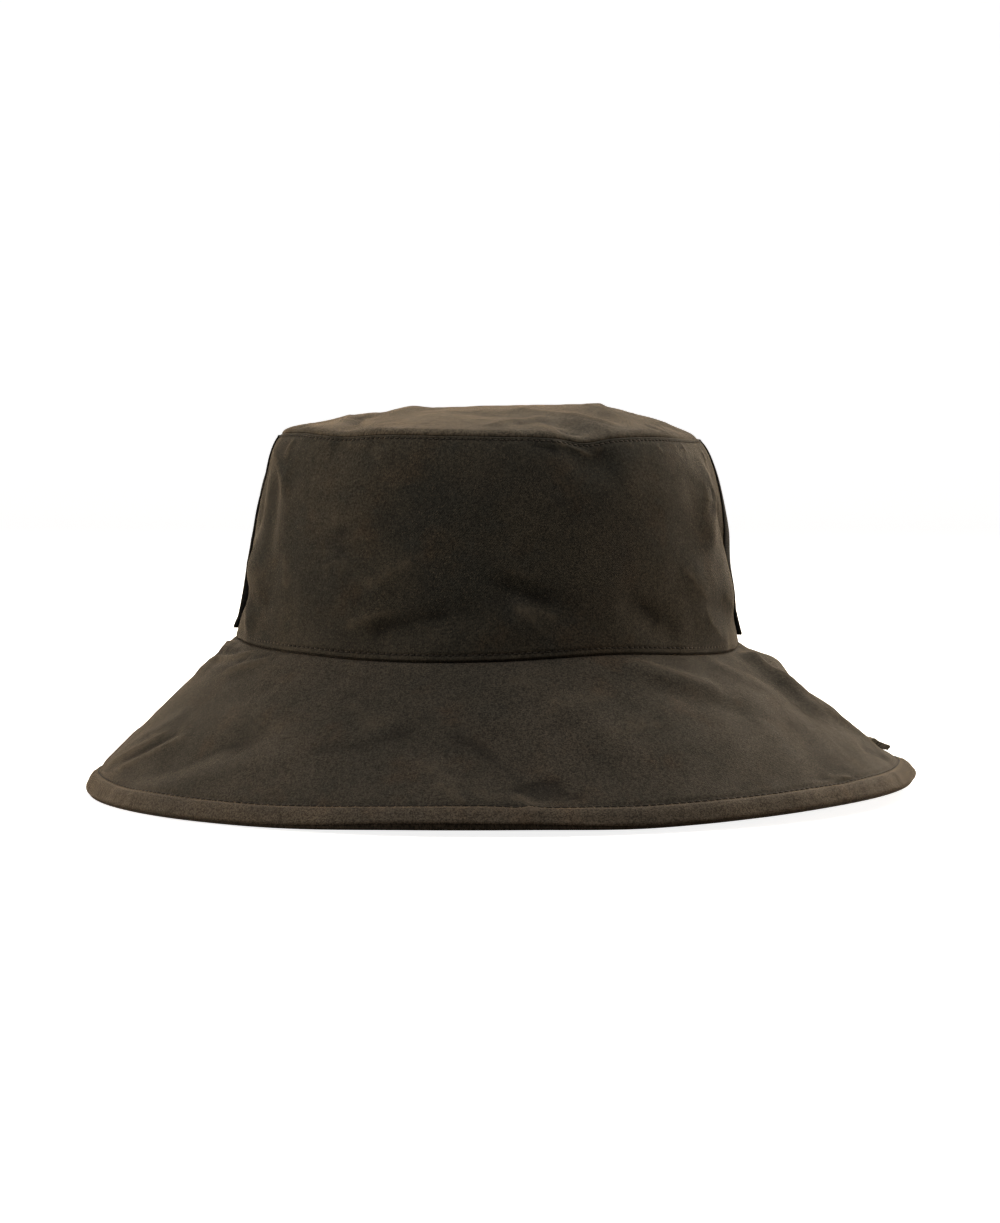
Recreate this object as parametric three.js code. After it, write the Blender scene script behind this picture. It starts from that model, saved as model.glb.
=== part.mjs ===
// A wide-brimmed waxed cotton hat lying on its brim, in millimetres.
// +Z is up, -Y is the hat's front and +X is on the right of someone who looks at the front.
// A place round the hat is an azimuth in degrees: 0 is the front, 90 the right, 180 the back.

import * as THREE from 'three';
import { mergeVertices } from 'three/addons/utils/BufferGeometryUtils.js';

// Head opening and crown
const headWidth = 177.6;        // inside the crown at the brim seam, side to side
const headDepth = 191.6;        // the same, front to back
const crownHeight = 72.7;       // the crown's side, from brim seam to tip seam
const crownTaper = 16.5;        // how far the crown's side leans in up to the tip seam
const crownShift = -3.2;        // the crown sits a little off the middle of the rim
const tipRise = 7.8;            // dome of the tip above its edge
const clothThickness = 1.6;     // waxed cotton with its seam allowance

// Brim and hem
const brimDrop = 55.4;          // from the surface that the hat lies on up to the brim seam
const brimReach = 57.4;         // level distance from brim seam to rim
const brimThickness = 1.6;
const hemWidth = 8;             // along the slope, from the rim to the hem's inner edge
const hemThickness = 1.1;       // one layer of the hem's folded cloth
const hemFoot = 2.4;            // width of the hem that is pressed flat on the surface below it

// Trim
const tapeWidth = 12;           // each side tape, measured round the crown
const tapeThickness = 1.2;
const tapeStandoff = 0.35;      // the tape lies this far off the crown
const tapeFlare = 1.6;          // how far the left tape's loose end stands away
const tapeEndGap = 2.6;         // from the brim seam up to the tape's lower end
const tabWidth = 7.6;           // the brim's tab, measured down the slope
const tabLength = 20;           // the same, measured round the brim
const tabThickness = 1.2;
const tabPlace = 0.83;          // middle of the tab, as a share of the way down the brim
const tabAzimuth = 96;

const seamGap = 0.3;            // clearance between pieces that are sewn together

const waxedCotton = { color: 0x3b342a, roughness: 0.72, metalness: 0 };
const darkTape = { color: 0x12110f, roughness: 0.85, metalness: 0 };

// How the soft form changes on its way round the hat; at is the azimuth of a row.
// seamDip and tipDip say how low the brim seam and the tip seam hang, as shares of brimDrop and
// crownHeight. lift, arch and roll are shares of hemWidth: how far the rim stands off the surface
// below it, how much the slope bellies out, and how far the rim turns up. reach is a share of
// brimReach, and bulge is how much fuller the crown is at half its height, as a share of crownTaper.
const sections = [
  { at: -180, seamDip: 0.03, tipDip: 0.01, lift: 0.00, reach: 1.00, arch: 0.14, roll: 0.00, bulge: 0.00 },
  { at: -140, seamDip: 0.02, tipDip: 0.005, lift: 0.00, reach: 1.00, arch: 0.10, roll: 0.00, bulge: 0.02 },
  { at: -90, seamDip: 0.00, tipDip: 0.01, lift: 0.00, reach: 0.985, arch: 0.11, roll: 0.00, bulge: -0.13 },
  { at: -62, seamDip: 0.028, tipDip: 0.00, lift: 0.00, reach: 1.00, arch: 0.06, roll: 0.00, bulge: -0.03 },
  { at: -42, seamDip: 0.045, tipDip: 0.018, lift: 0.00, reach: 1.00, arch: 0.06, roll: 0.00, bulge: 0.00 },
  { at: -28, seamDip: 0.061, tipDip: 0.007, lift: 0.04, reach: 1.00, arch: 0.05, roll: 0.02, bulge: 0.00 },
  { at: -12, seamDip: 0.065, tipDip: 0.012, lift: 0.23, reach: 1.00, arch: 0.05, roll: 0.16, bulge: 0.00 },
  { at: 4, seamDip: 0.055, tipDip: 0.016, lift: 0.27, reach: 1.00, arch: 0.06, roll: 0.13, bulge: 0.00 },
  { at: 18, seamDip: 0.036, tipDip: 0.024, lift: 0.17, reach: 1.00, arch: 0.06, roll: 0.00, bulge: 0.00 },
  { at: 27, seamDip: 0.028, tipDip: 0.046, lift: 0.22, reach: 1.00, arch: 0.06, roll: 0.00, bulge: 0.00 },
  { at: 36, seamDip: 0.034, tipDip: 0.025, lift: 0.30, reach: 1.00, arch: 0.06, roll: 0.00, bulge: 0.00 },
  { at: 52, seamDip: 0.060, tipDip: 0.02, lift: 0.42, reach: 1.00, arch: 0.05, roll: 0.02, bulge: 0.00 },
  { at: 72, seamDip: 0.074, tipDip: 0.032, lift: 0.45, reach: 1.02, arch: 0.12, roll: 0.02, bulge: 0.02 },
  { at: 92, seamDip: 0.064, tipDip: 0.03, lift: 0.35, reach: 1.03, arch: 0.16, roll: 0.02, bulge: -0.03 },
  { at: 114, seamDip: 0.04, tipDip: 0.02, lift: 0.00, reach: 1.01, arch: 0.10, roll: 0.00, bulge: 0.03 },
  { at: 145, seamDip: 0.03, tipDip: 0.014, lift: 0.00, reach: 1.00, arch: 0.14, roll: 0.00, bulge: 0.00 },
];

// The crown's side from brim seam (rise 0) to tip seam (rise 1); inset is a share of crownTaper.
const crownProfile = [
  { rise: 0.00, inset: 0.00 },
  { rise: 0.12, inset: 0.09 },
  { rise: 0.28, inset: 0.19 },
  { rise: 0.44, inset: 0.31 },
  { rise: 0.60, inset: 0.43 },
  { rise: 0.74, inset: 0.55 },
  { rise: 0.86, inset: 0.70 },
  { rise: 0.94, inset: 0.84 },
  { rise: 1.00, inset: 1.00 },
];

// Folds and dents of the crown's side. Each runs from one azimuth and rise to another,
// with its half width and its height as shares of crownHeight; a dent's height is negative.
const crownFolds = [
  { from: -73, rise: 0.94, to: -60, toRise: 0.80, width: 0.07, height: 0.022 },
  { from: -80, rise: 0.84, to: -74, toRise: 0.60, width: 0.08, height: -0.034 },
  { from: -66, rise: 0.74, to: -60, toRise: 0.40, width: 0.08, height: 0.020 },
  { from: -53, rise: 0.62, to: -50, toRise: 0.24, width: 0.09, height: -0.016 },
  { from: -72, rise: 0.36, to: -64, toRise: 0.34, width: 0.12, height: 0.034 },
  { from: -84, rise: 0.10, to: -66, toRise: 0.18, width: 0.09, height: -0.050 },
  { from: -22, rise: 0.10, to: -4, toRise: 0.20, width: 0.08, height: -0.014 },
  { from: 6, rise: 0.30, to: 17, toRise: 0.20, width: 0.08, height: -0.018 },
  { from: 34, rise: 0.22, to: 44, toRise: 0.11, width: 0.08, height: -0.018 },
  { from: 56, rise: 0.17, to: 67, toRise: 0.06, width: 0.07, height: 0.020 },
  { from: 58, rise: 0.34, to: 74, toRise: 0.28, width: 0.12, height: 0.030 },
  { from: 72, rise: 0.80, to: 66, toRise: 0.58, width: 0.09, height: 0.026 },
  { from: 60, rise: 0.74, to: 55, toRise: 0.52, width: 0.09, height: -0.016 },
  { from: 80, rise: 0.62, to: 84, toRise: 0.46, width: 0.08, height: -0.030 },
  { from: 84, rise: 0.14, to: 74, toRise: 0.12, width: 0.08, height: -0.034 },
  { from: 22, rise: 0.95, to: 31, toRise: 0.88, width: 0.07, height: -0.020 },
  { from: -42, rise: 0.96, to: -31, toRise: 0.93, width: 0.06, height: -0.018 },
  { from: -134, rise: 0.60, to: -122, toRise: 0.20, width: 0.12, height: -0.030 },
  { from: 118, rise: 0.26, to: 138, toRise: 0.44, width: 0.12, height: -0.028 },
  { from: -92, rise: 0.92, to: -88, toRise: 0.78, width: 0.10, height: -0.016 },
  { from: -98, rise: 0.14, to: -88, toRise: 0.16, width: 0.11, height: -0.020 },
  { from: 86, rise: 0.93, to: 94, toRise: 0.58, width: 0.15, height: 0.028 },
  { from: 88, rise: 0.12, to: 98, toRise: 0.14, width: 0.10, height: -0.012 },
  { from: 168, rise: 0.52, to: -168, toRise: 0.40, width: 0.12, height: -0.018 },
];

// Folds and dents of the tip, across the oval: reach is 0 at its middle and 1 at its seam.
// Half width and height are shares of tipRise.
const tipFolds = [
  { from: -66, reach: 0.40, to: -34, toReach: 0.94, width: 0.75, height: 0.13 },
  { from: -60, reach: 0.66, to: -44, toReach: 0.92, width: 0.65, height: -0.20 },
  { from: -84, reach: 0.60, to: -70, toReach: 0.96, width: 0.70, height: 0.10 },
  { from: -10, reach: 0.55, to: 14, toReach: 0.72, width: 0.80, height: -0.12 },
  { from: 20, reach: 0.52, to: 36, toReach: 0.90, width: 0.70, height: 0.15 },
  { from: 24, reach: 0.84, to: 31, toReach: 0.98, width: 0.60, height: -0.16 },
  { from: 60, reach: 0.60, to: 48, toReach: 0.94, width: 0.75, height: 0.10 },
  { from: 84, reach: 0.72, to: 72, toReach: 0.96, width: 0.70, height: -0.12 },
  { from: 62, reach: 0.62, to: 112, toReach: 0.66, width: 2.50, height: 0.30 },
  { from: -70, reach: 0.84, to: -104, toReach: 0.84, width: 1.60, height: -0.13 },
  { from: 20, reach: 0.26, to: 60, toReach: 0.26, width: 2.20, height: -0.10 },
  { from: 150, reach: 0.30, to: 128, toReach: 0.84, width: 0.95, height: -0.12 },
  { from: -140, reach: 0.70, to: 172, toReach: 0.62, width: 0.95, height: -0.10 },
];

// Folds and dents of the brim: slope is 0 at the brim seam and 1 at the rim.
// Half width and height are shares of brimReach.
const brimFolds = [
  { from: -92, slope: 0.13, to: -72, toSlope: 0.03, width: 0.070, height: 0.026 },
  { from: -84, slope: 0.24, to: -58, toSlope: 0.06, width: 0.080, height: 0.020 },
  { from: -74, slope: 0.14, to: -62, toSlope: 0.08, width: 0.060, height: -0.022 },
  { from: -88, slope: 0.52, to: -72, toSlope: 0.86, width: 0.090, height: 0.020 },
  { from: -66, slope: 0.52, to: -62, toSlope: 0.84, width: 0.100, height: -0.024 },
  { from: -50, slope: 0.46, to: -46, toSlope: 0.80, width: 0.130, height: -0.020 },
  { from: -28, slope: 0.30, to: -26, toSlope: 0.76, width: 0.150, height: 0.014 },
  { from: 2, slope: 0.50, to: 6, toSlope: 0.84, width: 0.100, height: -0.026 },
  { from: 12, slope: 0.24, to: 19, toSlope: 0.58, width: 0.140, height: 0.024 },
  { from: 30, slope: 0.08, to: 46, toSlope: 0.22, width: 0.080, height: 0.020 },
  { from: 34, slope: 0.24, to: 48, toSlope: 0.38, width: 0.090, height: -0.016 },
  { from: 56, slope: 0.10, to: 64, toSlope: 0.26, width: 0.070, height: 0.018 },
  { from: 74, slope: 0.07, to: 71, toSlope: 0.44, width: 0.090, height: 0.050 },
  { from: 74, slope: 0.50, to: 84, toSlope: 0.62, width: 0.080, height: 0.020 },
  { from: 84, slope: 0.09, to: 95, toSlope: 0.24, width: 0.120, height: 0.052 },
  { from: 92, slope: 0.44, to: 90, toSlope: 0.60, width: 0.110, height: -0.012 },
  { from: 58, slope: 0.56, to: 54, toSlope: 0.84, width: 0.110, height: -0.018 },
  { from: 128, slope: 0.20, to: 132, toSlope: 0.74, width: 0.140, height: -0.028 },
  { from: 164, slope: 0.30, to: 160, toSlope: 0.80, width: 0.160, height: 0.026 },
  { from: -160, slope: 0.24, to: -166, toSlope: 0.72, width: 0.140, height: -0.024 },
  { from: -122, slope: 0.16, to: -126, toSlope: 0.60, width: 0.120, height: 0.026 },
];

// The hem's cross-section round the brim's edge, from its inner edge on top, round the rim and back
// underneath. inward is how far in from the rim a point lies, as a share of hemWidth, and puff is
// how high it stands on the brim's upper face, or under its lower face, in layers of hem cloth.
const hemTop = [
  { inward: 1.00, puff: 0.75 },
  { inward: 0.75, puff: 1.20 },
  { inward: 0.15, puff: 1.00 },
  { inward: 0.00, puff: 0.10 },
];

// Sizes that follow from those above
const seamHalfWidth = headWidth / 2 + clothThickness;
const seamHalfDepth = headDepth / 2 + clothThickness;
const meanRadius = (seamHalfWidth + seamHalfDepth) / 2;
const brimSlopeLength = Math.hypot(brimReach, brimDrop);
const slopeAngle = Math.atan2(brimDrop, brimReach);
const hemDepth = brimThickness + 2 * seamGap + hemThickness;   // from the brim's top to the hem's underside

// How finely the surfaces are divided, and how sharply some shapes turn
const segmentsFront = 58;       // from the left side round the front to the right side
const segmentsBack = 34;
const brimRows = [0, 0.05, 0.14, 0.28, 0.44, 0.60, 0.76];
const tipRings = [0, 0.30, 0.54, 0.72, 0.86, 0.95];
const tapeRows = 12;
const tabSteps = 6;
const domePower = 2.1;          // a higher power makes the tip's dome flatter in its middle
const edgePower = 24;           // keeps the rounding of the tip's edge close to its edge
const edgeRounding = 0.35;      // what the rounding takes off the tip's edge, in cloth thicknesses
const rollPower = 8;            // keeps the rim's turned-up stretch close to the rim
const foldStart = 0.08;         // the brim's folds fade out over this share of the slope, at its seam
const flareRise = 0.3;          // the left tape is loose below this rise

const degrees = (angle) => THREE.MathUtils.degToRad(angle);
const mix = THREE.MathUtils.lerp;

// A column of a table between its rows, as a smooth curve that closes round the hat.
function aroundHat(column, azimuth) {
  const count = sections.length;
  const turned = THREE.MathUtils.euclideanModulo(azimuth - sections[0].at, 360) + sections[0].at;
  let here = count - 1;
  while (sections[here].at > turned) {
    here -= 1;
  }
  const row = (index) => {
    const turns = Math.floor(index / count);
    const section = sections[index - turns * count];
    return { at: section.at + 360 * turns, value: section[column] };
  };
  const [before, start, end, after] = [row(here - 1), row(here), row(here + 1), row(here + 2)];
  const span = end.at - start.at;
  const share = (turned - start.at) / span;
  const startSlope = (end.value - before.value) / (end.at - before.at) * span;
  const endSlope = (after.value - start.value) / (after.at - start.at) * span;
  const square = share * share;
  const cube = square * share;
  return (2 * cube - 3 * square + 1) * start.value + (cube - 2 * square + share) * startSlope
    + (3 * square - 2 * cube) * end.value + (cube - square) * endSlope;
}

// A column of the crown's profile at a rise, by straight lines.
function crownInset(rise) {
  const above = Math.max(1, crownProfile.findIndex((row) => row.rise >= rise));
  const low = crownProfile[above - 1];
  const high = crownProfile[above];
  return crownTaper * mix(low.inset, high.inset, (rise - low.rise) / (high.rise - low.rise));
}

// The height of all folds at a place, where a fold is a smooth ridge along a straight run
// between two places of the flattened cloth: height * exp(-(distance / width)^2).
function foldHeight(place, runs) {
  let total = 0;
  for (const run of runs) {
    const along = run.end.clone().sub(run.start);
    const reached = place.clone().sub(run.start).dot(along) / Math.max(along.lengthSq(), 1e-9);
    const nearest = run.start.clone().addScaledVector(along, THREE.MathUtils.clamp(reached, 0, 1));
    const distance = place.distanceTo(nearest) / run.width;
    total += run.height * Math.exp(-distance * distance);
  }
  return total;
}

// The nearest way round the hat from one azimuth to another, in degrees.
const turnBetween = (from, to) => THREE.MathUtils.euclideanModulo(to - from + 180, 360) - 180;

// A wall's folds as runs on the flattened cloth, near one azimuth: x is the way round, y the way up or down.
function wallRuns(folds, column, columnEnd, azimuth, length, size) {
  const round = (angle) => degrees(angle) * meanRadius;
  return folds.map((fold) => {
    const start = turnBetween(azimuth, fold.from);
    return {
      start: new THREE.Vector2(round(start), fold[column] * length),
      end: new THREE.Vector2(round(start + turnBetween(fold.from, fold.to)), fold[columnEnd] * length),
      width: fold.width * size,
      height: fold.height * size,
    };
  });
}

// A point outside the seam's oval by a distance, at a height.
function ovalPoint(azimuth, outward, height, shift) {
  const angle = degrees(azimuth);
  return new THREE.Vector3(
    (seamHalfWidth + outward) * Math.sin(angle) + shift,
    -(seamHalfDepth + outward) * Math.cos(angle),
    height,
  );
}

const seamHeight = (azimuth) => brimDrop * (1 - aroundHat('seamDip', azimuth));
const tipSeamHeight = (azimuth) => brimDrop + crownHeight * (1 - aroundHat('tipDip', azimuth));

// How far outside the seam's oval the crown's side lies.
function crownOutward(azimuth, rise) {
  const runs = wallRuns(crownFolds, 'rise', 'toRise', azimuth, crownHeight, crownHeight);
  const fold = foldHeight(new THREE.Vector2(0, rise * crownHeight), runs);
  const bulge = crownTaper * aroundHat('bulge', azimuth) * 4 * rise * (1 - rise);
  return bulge + fold - crownInset(rise);
}

// A point of the crown's side, at a depth under its outer face.
function crownPoint(azimuth, rise, depth) {
  const height = mix(seamHeight(azimuth), tipSeamHeight(azimuth), rise);
  return ovalPoint(azimuth, crownOutward(azimuth, rise) - depth, height, crownShift);
}

// A point of the tip, a thin oval lid that lies on the crown's upper edge.
function tipPoint(azimuth, reach, depth) {
  const edge = ovalPoint(azimuth, crownOutward(azimuth, 1), 0, 0);
  const flat = (angle, share) => {
    const point = ovalPoint(angle, -crownTaper, 0, 0);
    return new THREE.Vector2(point.x, point.y).multiplyScalar(share);
  };
  const runs = tipFolds.map((fold) => ({
    start: flat(fold.from, fold.reach),
    end: flat(fold.to, fold.toReach),
    width: fold.width * tipRise,
    height: fold.height * tipRise,
  }));
  const dome = tipRise * (1 - reach ** domePower);
  const rounding = edgeRounding * clothThickness * reach ** edgePower;
  const fade = Math.sqrt(1 - reach * reach);
  const fold = foldHeight(new THREE.Vector2(edge.x, edge.y).multiplyScalar(reach), runs) * fade;
  const seam = mix(brimDrop + crownHeight, tipSeamHeight(azimuth), reach * reach);
  const height = seam + seamGap + clothThickness + dome + fold - Math.max(depth, rounding);
  return new THREE.Vector3(edge.x * reach + crownShift, edge.y * reach, height);
}

// The brim's upper face at a place down the slope, and the direction that faces out of it.
function brimPlace(azimuth, slope) {
  const angle = degrees(azimuth);
  const runs = wallRuns(brimFolds, 'slope', 'toSlope', azimuth, brimSlopeLength, brimReach);
  const place = new THREE.Vector2(0, slope * brimSlopeLength);
  const pastSeam = THREE.MathUtils.smoothstep(slope, 0, foldStart);
  const belly = hemWidth * aroundHat('arch', azimuth) * 4 * slope * (1 - slope);
  const roll = hemWidth * aroundHat('roll', azimuth) * slope ** rollPower;
  const raised = belly + roll + foldHeight(place, runs) * pastSeam;
  const outward = brimReach * aroundHat('reach', azimuth) * slope + crownOutward(azimuth, 0) * (1 - slope);
  const rimHeight = hemDepth * Math.cos(slopeAngle) + hemWidth * aroundHat('lift', azimuth);
  const height = mix(seamHeight(azimuth) - seamGap, rimHeight, slope);
  const normal = new THREE.Vector3(
    Math.sin(angle) * Math.sin(slopeAngle),
    -Math.cos(angle) * Math.sin(slopeAngle),
    Math.cos(slopeAngle),
  );
  const point = ovalPoint(azimuth, outward, height, crownShift * (1 - slope)).addScaledVector(normal, raised);
  return { point, normal };
}

// A point of the brim, raised above its upper face, or lowered under it.
function brimPoint(azimuth, slope, raised) {
  const { point, normal } = brimPlace(azimuth, slope);
  return point.addScaledVector(normal, raised);
}

// Turns a geometry's faces outward, if its signed volume says that they point in.
function facingOut(geometry) {
  const position = geometry.getAttribute('position');
  const index = geometry.getIndex();
  const [a, b, c] = [new THREE.Vector3(), new THREE.Vector3(), new THREE.Vector3()];
  let volume = 0;
  for (let corner = 0; corner < index.count; corner += 3) {
    a.fromBufferAttribute(position, index.getX(corner));
    b.fromBufferAttribute(position, index.getX(corner + 1));
    c.fromBufferAttribute(position, index.getX(corner + 2));
    volume += a.dot(b.cross(c));
  }
  if (volume < 0) {
    for (let corner = 0; corner < index.count; corner += 3) {
      const second = index.getX(corner + 1);
      index.setX(corner + 1, index.getX(corner + 2));
      index.setX(corner + 2, second);
    }
  }
  geometry.computeVertexNormals();
  return geometry;
}

// A closed skin over a row of sections. Each section is a loop of points; a ring joins the last
// section to the first, and otherwise both ends are closed by strips across the loop.
function loft(sectionLoops, { ring }) {
  const size = sectionLoops[0].length;
  const count = sectionLoops.length;
  const triangles = [];
  const at = (section, point) => (section % count) * size + (point % size);
  const quad = (p, q, r, s) => triangles.push(p, q, r, p, r, s);
  for (let section = 0; section < (ring ? count : count - 1); section += 1) {
    for (let point = 0; point < size; point += 1) {
      quad(at(section, point), at(section, point + 1), at(section + 1, point + 1), at(section + 1, point));
    }
  }
  if (!ring) {
    for (let point = 0; point < size / 2 - 1; point += 1) {
      const [near, next] = [size - 1 - point, size - 2 - point];
      quad(at(0, point), at(0, near), at(0, next), at(0, point + 1));
      quad(at(count - 1, point + 1), at(count - 1, next), at(count - 1, near), at(count - 1, point));
    }
  }
  return skin(sectionLoops.flat(), triangles);
}

// A geometry from points and triangles, with points in one place joined and flat triangles dropped.
function skin(points, triangles) {
  const loose = new THREE.BufferGeometry().setFromPoints(points);
  loose.setIndex(triangles);
  const joined = mergeVertices(loose, 1e-3);
  const index = Array.from(joined.getIndex().array);
  const kept = [];
  for (let corner = 0; corner < index.length; corner += 3) {
    const [p, q, r] = index.slice(corner, corner + 3);
    if (p !== q && q !== r && r !== p) {
      kept.push(p, q, r);
    }
  }
  joined.setIndex(kept);
  return facingOut(joined);
}

// The azimuths of the sections over a stretch, its ends included.
const stretch = (from, to, steps) => Array.from({ length: steps + 1 }, (_, step) => mix(from, to, step / steps));

// The azimuths all round the hat, closer together over its front.
const allRound = [...stretch(-90, 90, segmentsFront), ...stretch(90, 270, segmentsBack).slice(1, -1)];

// Half of the crown's side, from one side seam to the other.
function crownHalf(from, to, steps) {
  const seamTurn = THREE.MathUtils.radToDeg(seamGap / 2 / meanRadius);
  const rises = crownProfile.map((row) => row.rise);
  const azimuths = stretch(from, to, steps);
  azimuths[0] += seamTurn;
  azimuths[steps] -= seamTurn;
  const loops = azimuths.map((azimuth) => [
    ...rises.map((rise) => crownPoint(azimuth, rise, 0)),
    ...rises.toReversed().map((rise) => crownPoint(azimuth, rise, clothThickness)),
  ]);
  return loft(loops, { ring: false });
}

// The crown's tip, as rings from its middle out over the top and back underneath.
function crownTip() {
  const reaches = [...tipRings, 1];
  const loops = allRound.map((azimuth) => [
    ...reaches.map((reach) => tipPoint(azimuth, reach, 0)),
    ...reaches.toReversed().map((reach) => tipPoint(azimuth, reach, clothThickness)),
  ]);
  const size = reaches.length * 2;
  const triangles = [];
  loops.forEach((_, section) => {
    const here = section * size;
    const next = ((section + 1) % loops.length) * size;
    for (let point = 0; point < size - 1; point += 1) {
      triangles.push(here + point, here + point + 1, next + point + 1);
      triangles.push(here + point, next + point + 1, next + point);
    }
  });
  return skin(loops.flat(), triangles);
}

// The brim, whose inner edge lies under the crown's side and whose outer edge lies in the hem.
function brimRing() {
  const hemEdge = 1 - hemWidth / brimSlopeLength;
  const outerEdge = 1 - (hemThickness + seamGap) / brimSlopeLength;
  const slopes = [...brimRows, hemEdge, outerEdge];
  const loops = allRound.map((azimuth) => {
    const seam = crownOutward(azimuth, 0) - clothThickness;
    const height = seamHeight(azimuth) - seamGap;
    const under = brimThickness / Math.cos(slopeAngle);
    return [
      ovalPoint(azimuth, seam, height, crownShift),
      ...slopes.map((slope) => brimPoint(azimuth, slope, 0)),
      ...slopes.toReversed().map((slope) => brimPoint(azimuth, slope, -brimThickness)),
      ovalPoint(azimuth, seam, height - under, crownShift),
    ];
  });
  return loft(loops, { ring: true });
}

// The hem: cloth folded round the brim's edge, with a foot that is flat where the hat lies on it.
function rimHem() {
  const share = (inward) => 1 - inward * hemWidth / brimSlopeLength;
  const pocket = 1 - hemThickness / brimSlopeLength;
  const low = -brimThickness - seamGap;
  const outerEdge = hemThickness / 2;
  const loops = allRound.map((azimuth) => {
    const rim = brimPoint(azimuth, 1, low - hemThickness / 2);
    const floor = Math.max(0, hemWidth * aroundHat('lift', azimuth));
    const outward = ovalPoint(azimuth, 1, 0, 0).sub(ovalPoint(azimuth, 0, 0, 0)).normalize();
    const footPoint = (inward) => rim.clone().addScaledVector(outward, -inward).setZ(floor);
    return [
      brimPoint(azimuth, share(1), seamGap),
      ...hemTop.map(({ inward, puff }) => brimPoint(azimuth, share(inward), seamGap + puff * hemThickness)),
      brimPoint(azimuth, 1, low / 2),
      footPoint(outerEdge),
      footPoint(outerEdge + hemFoot),
      brimPoint(azimuth, share(1), low - hemThickness),
      brimPoint(azimuth, share(1), low),
      brimPoint(azimuth, pocket, low),
      brimPoint(azimuth, pocket, seamGap),
    ];
  });
  return loft(loops, { ring: true });
}

// The greatest reach of the crown's side over a tape's width, so that the tape clears it.
function tapeSeat(side, rise) {
  const spread = THREE.MathUtils.radToDeg(tapeWidth / 2 / meanRadius);
  const places = [-1, -0.5, 0, 0.5, 1].map((share) => crownOutward(side * 90 + share * spread, rise));
  return Math.max(...places);
}

// A tape over a side seam, from the tip seam to the brim seam. flare lifts its lower end.
function sideTape(side, flare) {
  const spread = THREE.MathUtils.radToDeg(tapeWidth / 2 / meanRadius);
  const endRise = tapeEndGap / crownHeight;
  const rises = stretch(endRise, 1 - seamGap / crownHeight, tapeRows);
  const loops = rises.map((rise) => {
    const lifted = flare * Math.max(0, 1 - rise / flareRise) ** 2;
    const bottom = tapeSeat(side, rise) + tapeStandoff + lifted;
    const point = (share, raised) => {
      const azimuth = side * 90 + share * spread;
      const height = mix(seamHeight(azimuth), tipSeamHeight(azimuth), rise);
      return ovalPoint(azimuth, bottom + raised, height, crownShift);
    };
    return [
      ...[-1, 0, 1].map((share) => point(share, tapeThickness)),
      ...[1, 0, -1].map((share) => point(share, 0)),
    ];
  });
  return loft(loops, { ring: false });
}

// The tab, a flat strip sewn on the brim.
function brimTab() {
  const middleRadius = meanRadius + brimReach * tabPlace;
  const spread = THREE.MathUtils.radToDeg(tabLength / 2 / middleRadius);
  const half = tabWidth / 2 / brimSlopeLength;
  const azimuths = stretch(tabAzimuth - spread, tabAzimuth + spread, tabSteps);
  const slopes = [-1, 0, 1].map((share) => tabPlace + share * half);
  const loops = azimuths.map((azimuth) => [
    ...slopes.map((slope) => brimPoint(azimuth, slope, 2 * seamGap + tabThickness)),
    ...slopes.toReversed().map((slope) => brimPoint(azimuth, slope, 2 * seamGap)),
  ]);
  return loft(loops, { ring: false });
}

const pieces = [
  { name: 'crown_tip', geometry: crownTip(), finish: waxedCotton },
  { name: 'crown_front', geometry: crownHalf(-90, 90, segmentsFront), finish: waxedCotton },
  { name: 'crown_back', geometry: crownHalf(90, 270, segmentsBack), finish: waxedCotton },
  { name: 'side_tape_left', geometry: sideTape(-1, tapeFlare), finish: darkTape },
  { name: 'side_tape_right', geometry: sideTape(1, 0), finish: darkTape },
  { name: 'brim', geometry: brimRing(), finish: waxedCotton },
  { name: 'rim_hem', geometry: rimHem(), finish: waxedCotton },
  { name: 'brim_tab', geometry: brimTab(), finish: waxedCotton },
];

const hat = new THREE.Group();
for (const { name, geometry, finish } of pieces) {
  const mesh = new THREE.Mesh(geometry, new THREE.MeshStandardMaterial(finish));
  mesh.name = name;
  hat.add(mesh);
}

// The middle of the hat's outline is x = 0, y = 0.
const outline = new THREE.Box3().setFromObject(hat).getCenter(new THREE.Vector3());
hat.position.set(-outline.x, -outline.y, 0);

export default hat;
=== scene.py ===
"""The looks of a wide-brimmed waxed cotton hat that lies on its brim.

The hat's form follows the construction's own sizes and tables, here on fine grids with the small
creases, seams and stitches of the real cloth. Lengths are in millimetres until a mesh is made, and
an azimuth is in degrees: 0 is the front (-Y), 90 the right (+X) and 180 the back.
"""
import itertools
import math

import bpy
import numpy as np
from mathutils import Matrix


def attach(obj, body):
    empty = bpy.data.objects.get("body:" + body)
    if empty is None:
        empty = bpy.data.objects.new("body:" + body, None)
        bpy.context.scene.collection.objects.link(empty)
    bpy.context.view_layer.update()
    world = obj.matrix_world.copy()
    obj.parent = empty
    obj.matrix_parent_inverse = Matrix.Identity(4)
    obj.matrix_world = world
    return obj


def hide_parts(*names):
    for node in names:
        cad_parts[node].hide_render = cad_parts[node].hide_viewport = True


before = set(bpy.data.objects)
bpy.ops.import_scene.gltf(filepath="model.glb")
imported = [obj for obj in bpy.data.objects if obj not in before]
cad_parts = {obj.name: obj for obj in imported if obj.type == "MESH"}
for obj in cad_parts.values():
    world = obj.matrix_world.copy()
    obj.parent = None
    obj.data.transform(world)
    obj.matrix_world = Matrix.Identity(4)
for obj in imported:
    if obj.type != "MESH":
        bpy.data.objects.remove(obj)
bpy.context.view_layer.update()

METRES = 0.001

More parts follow.
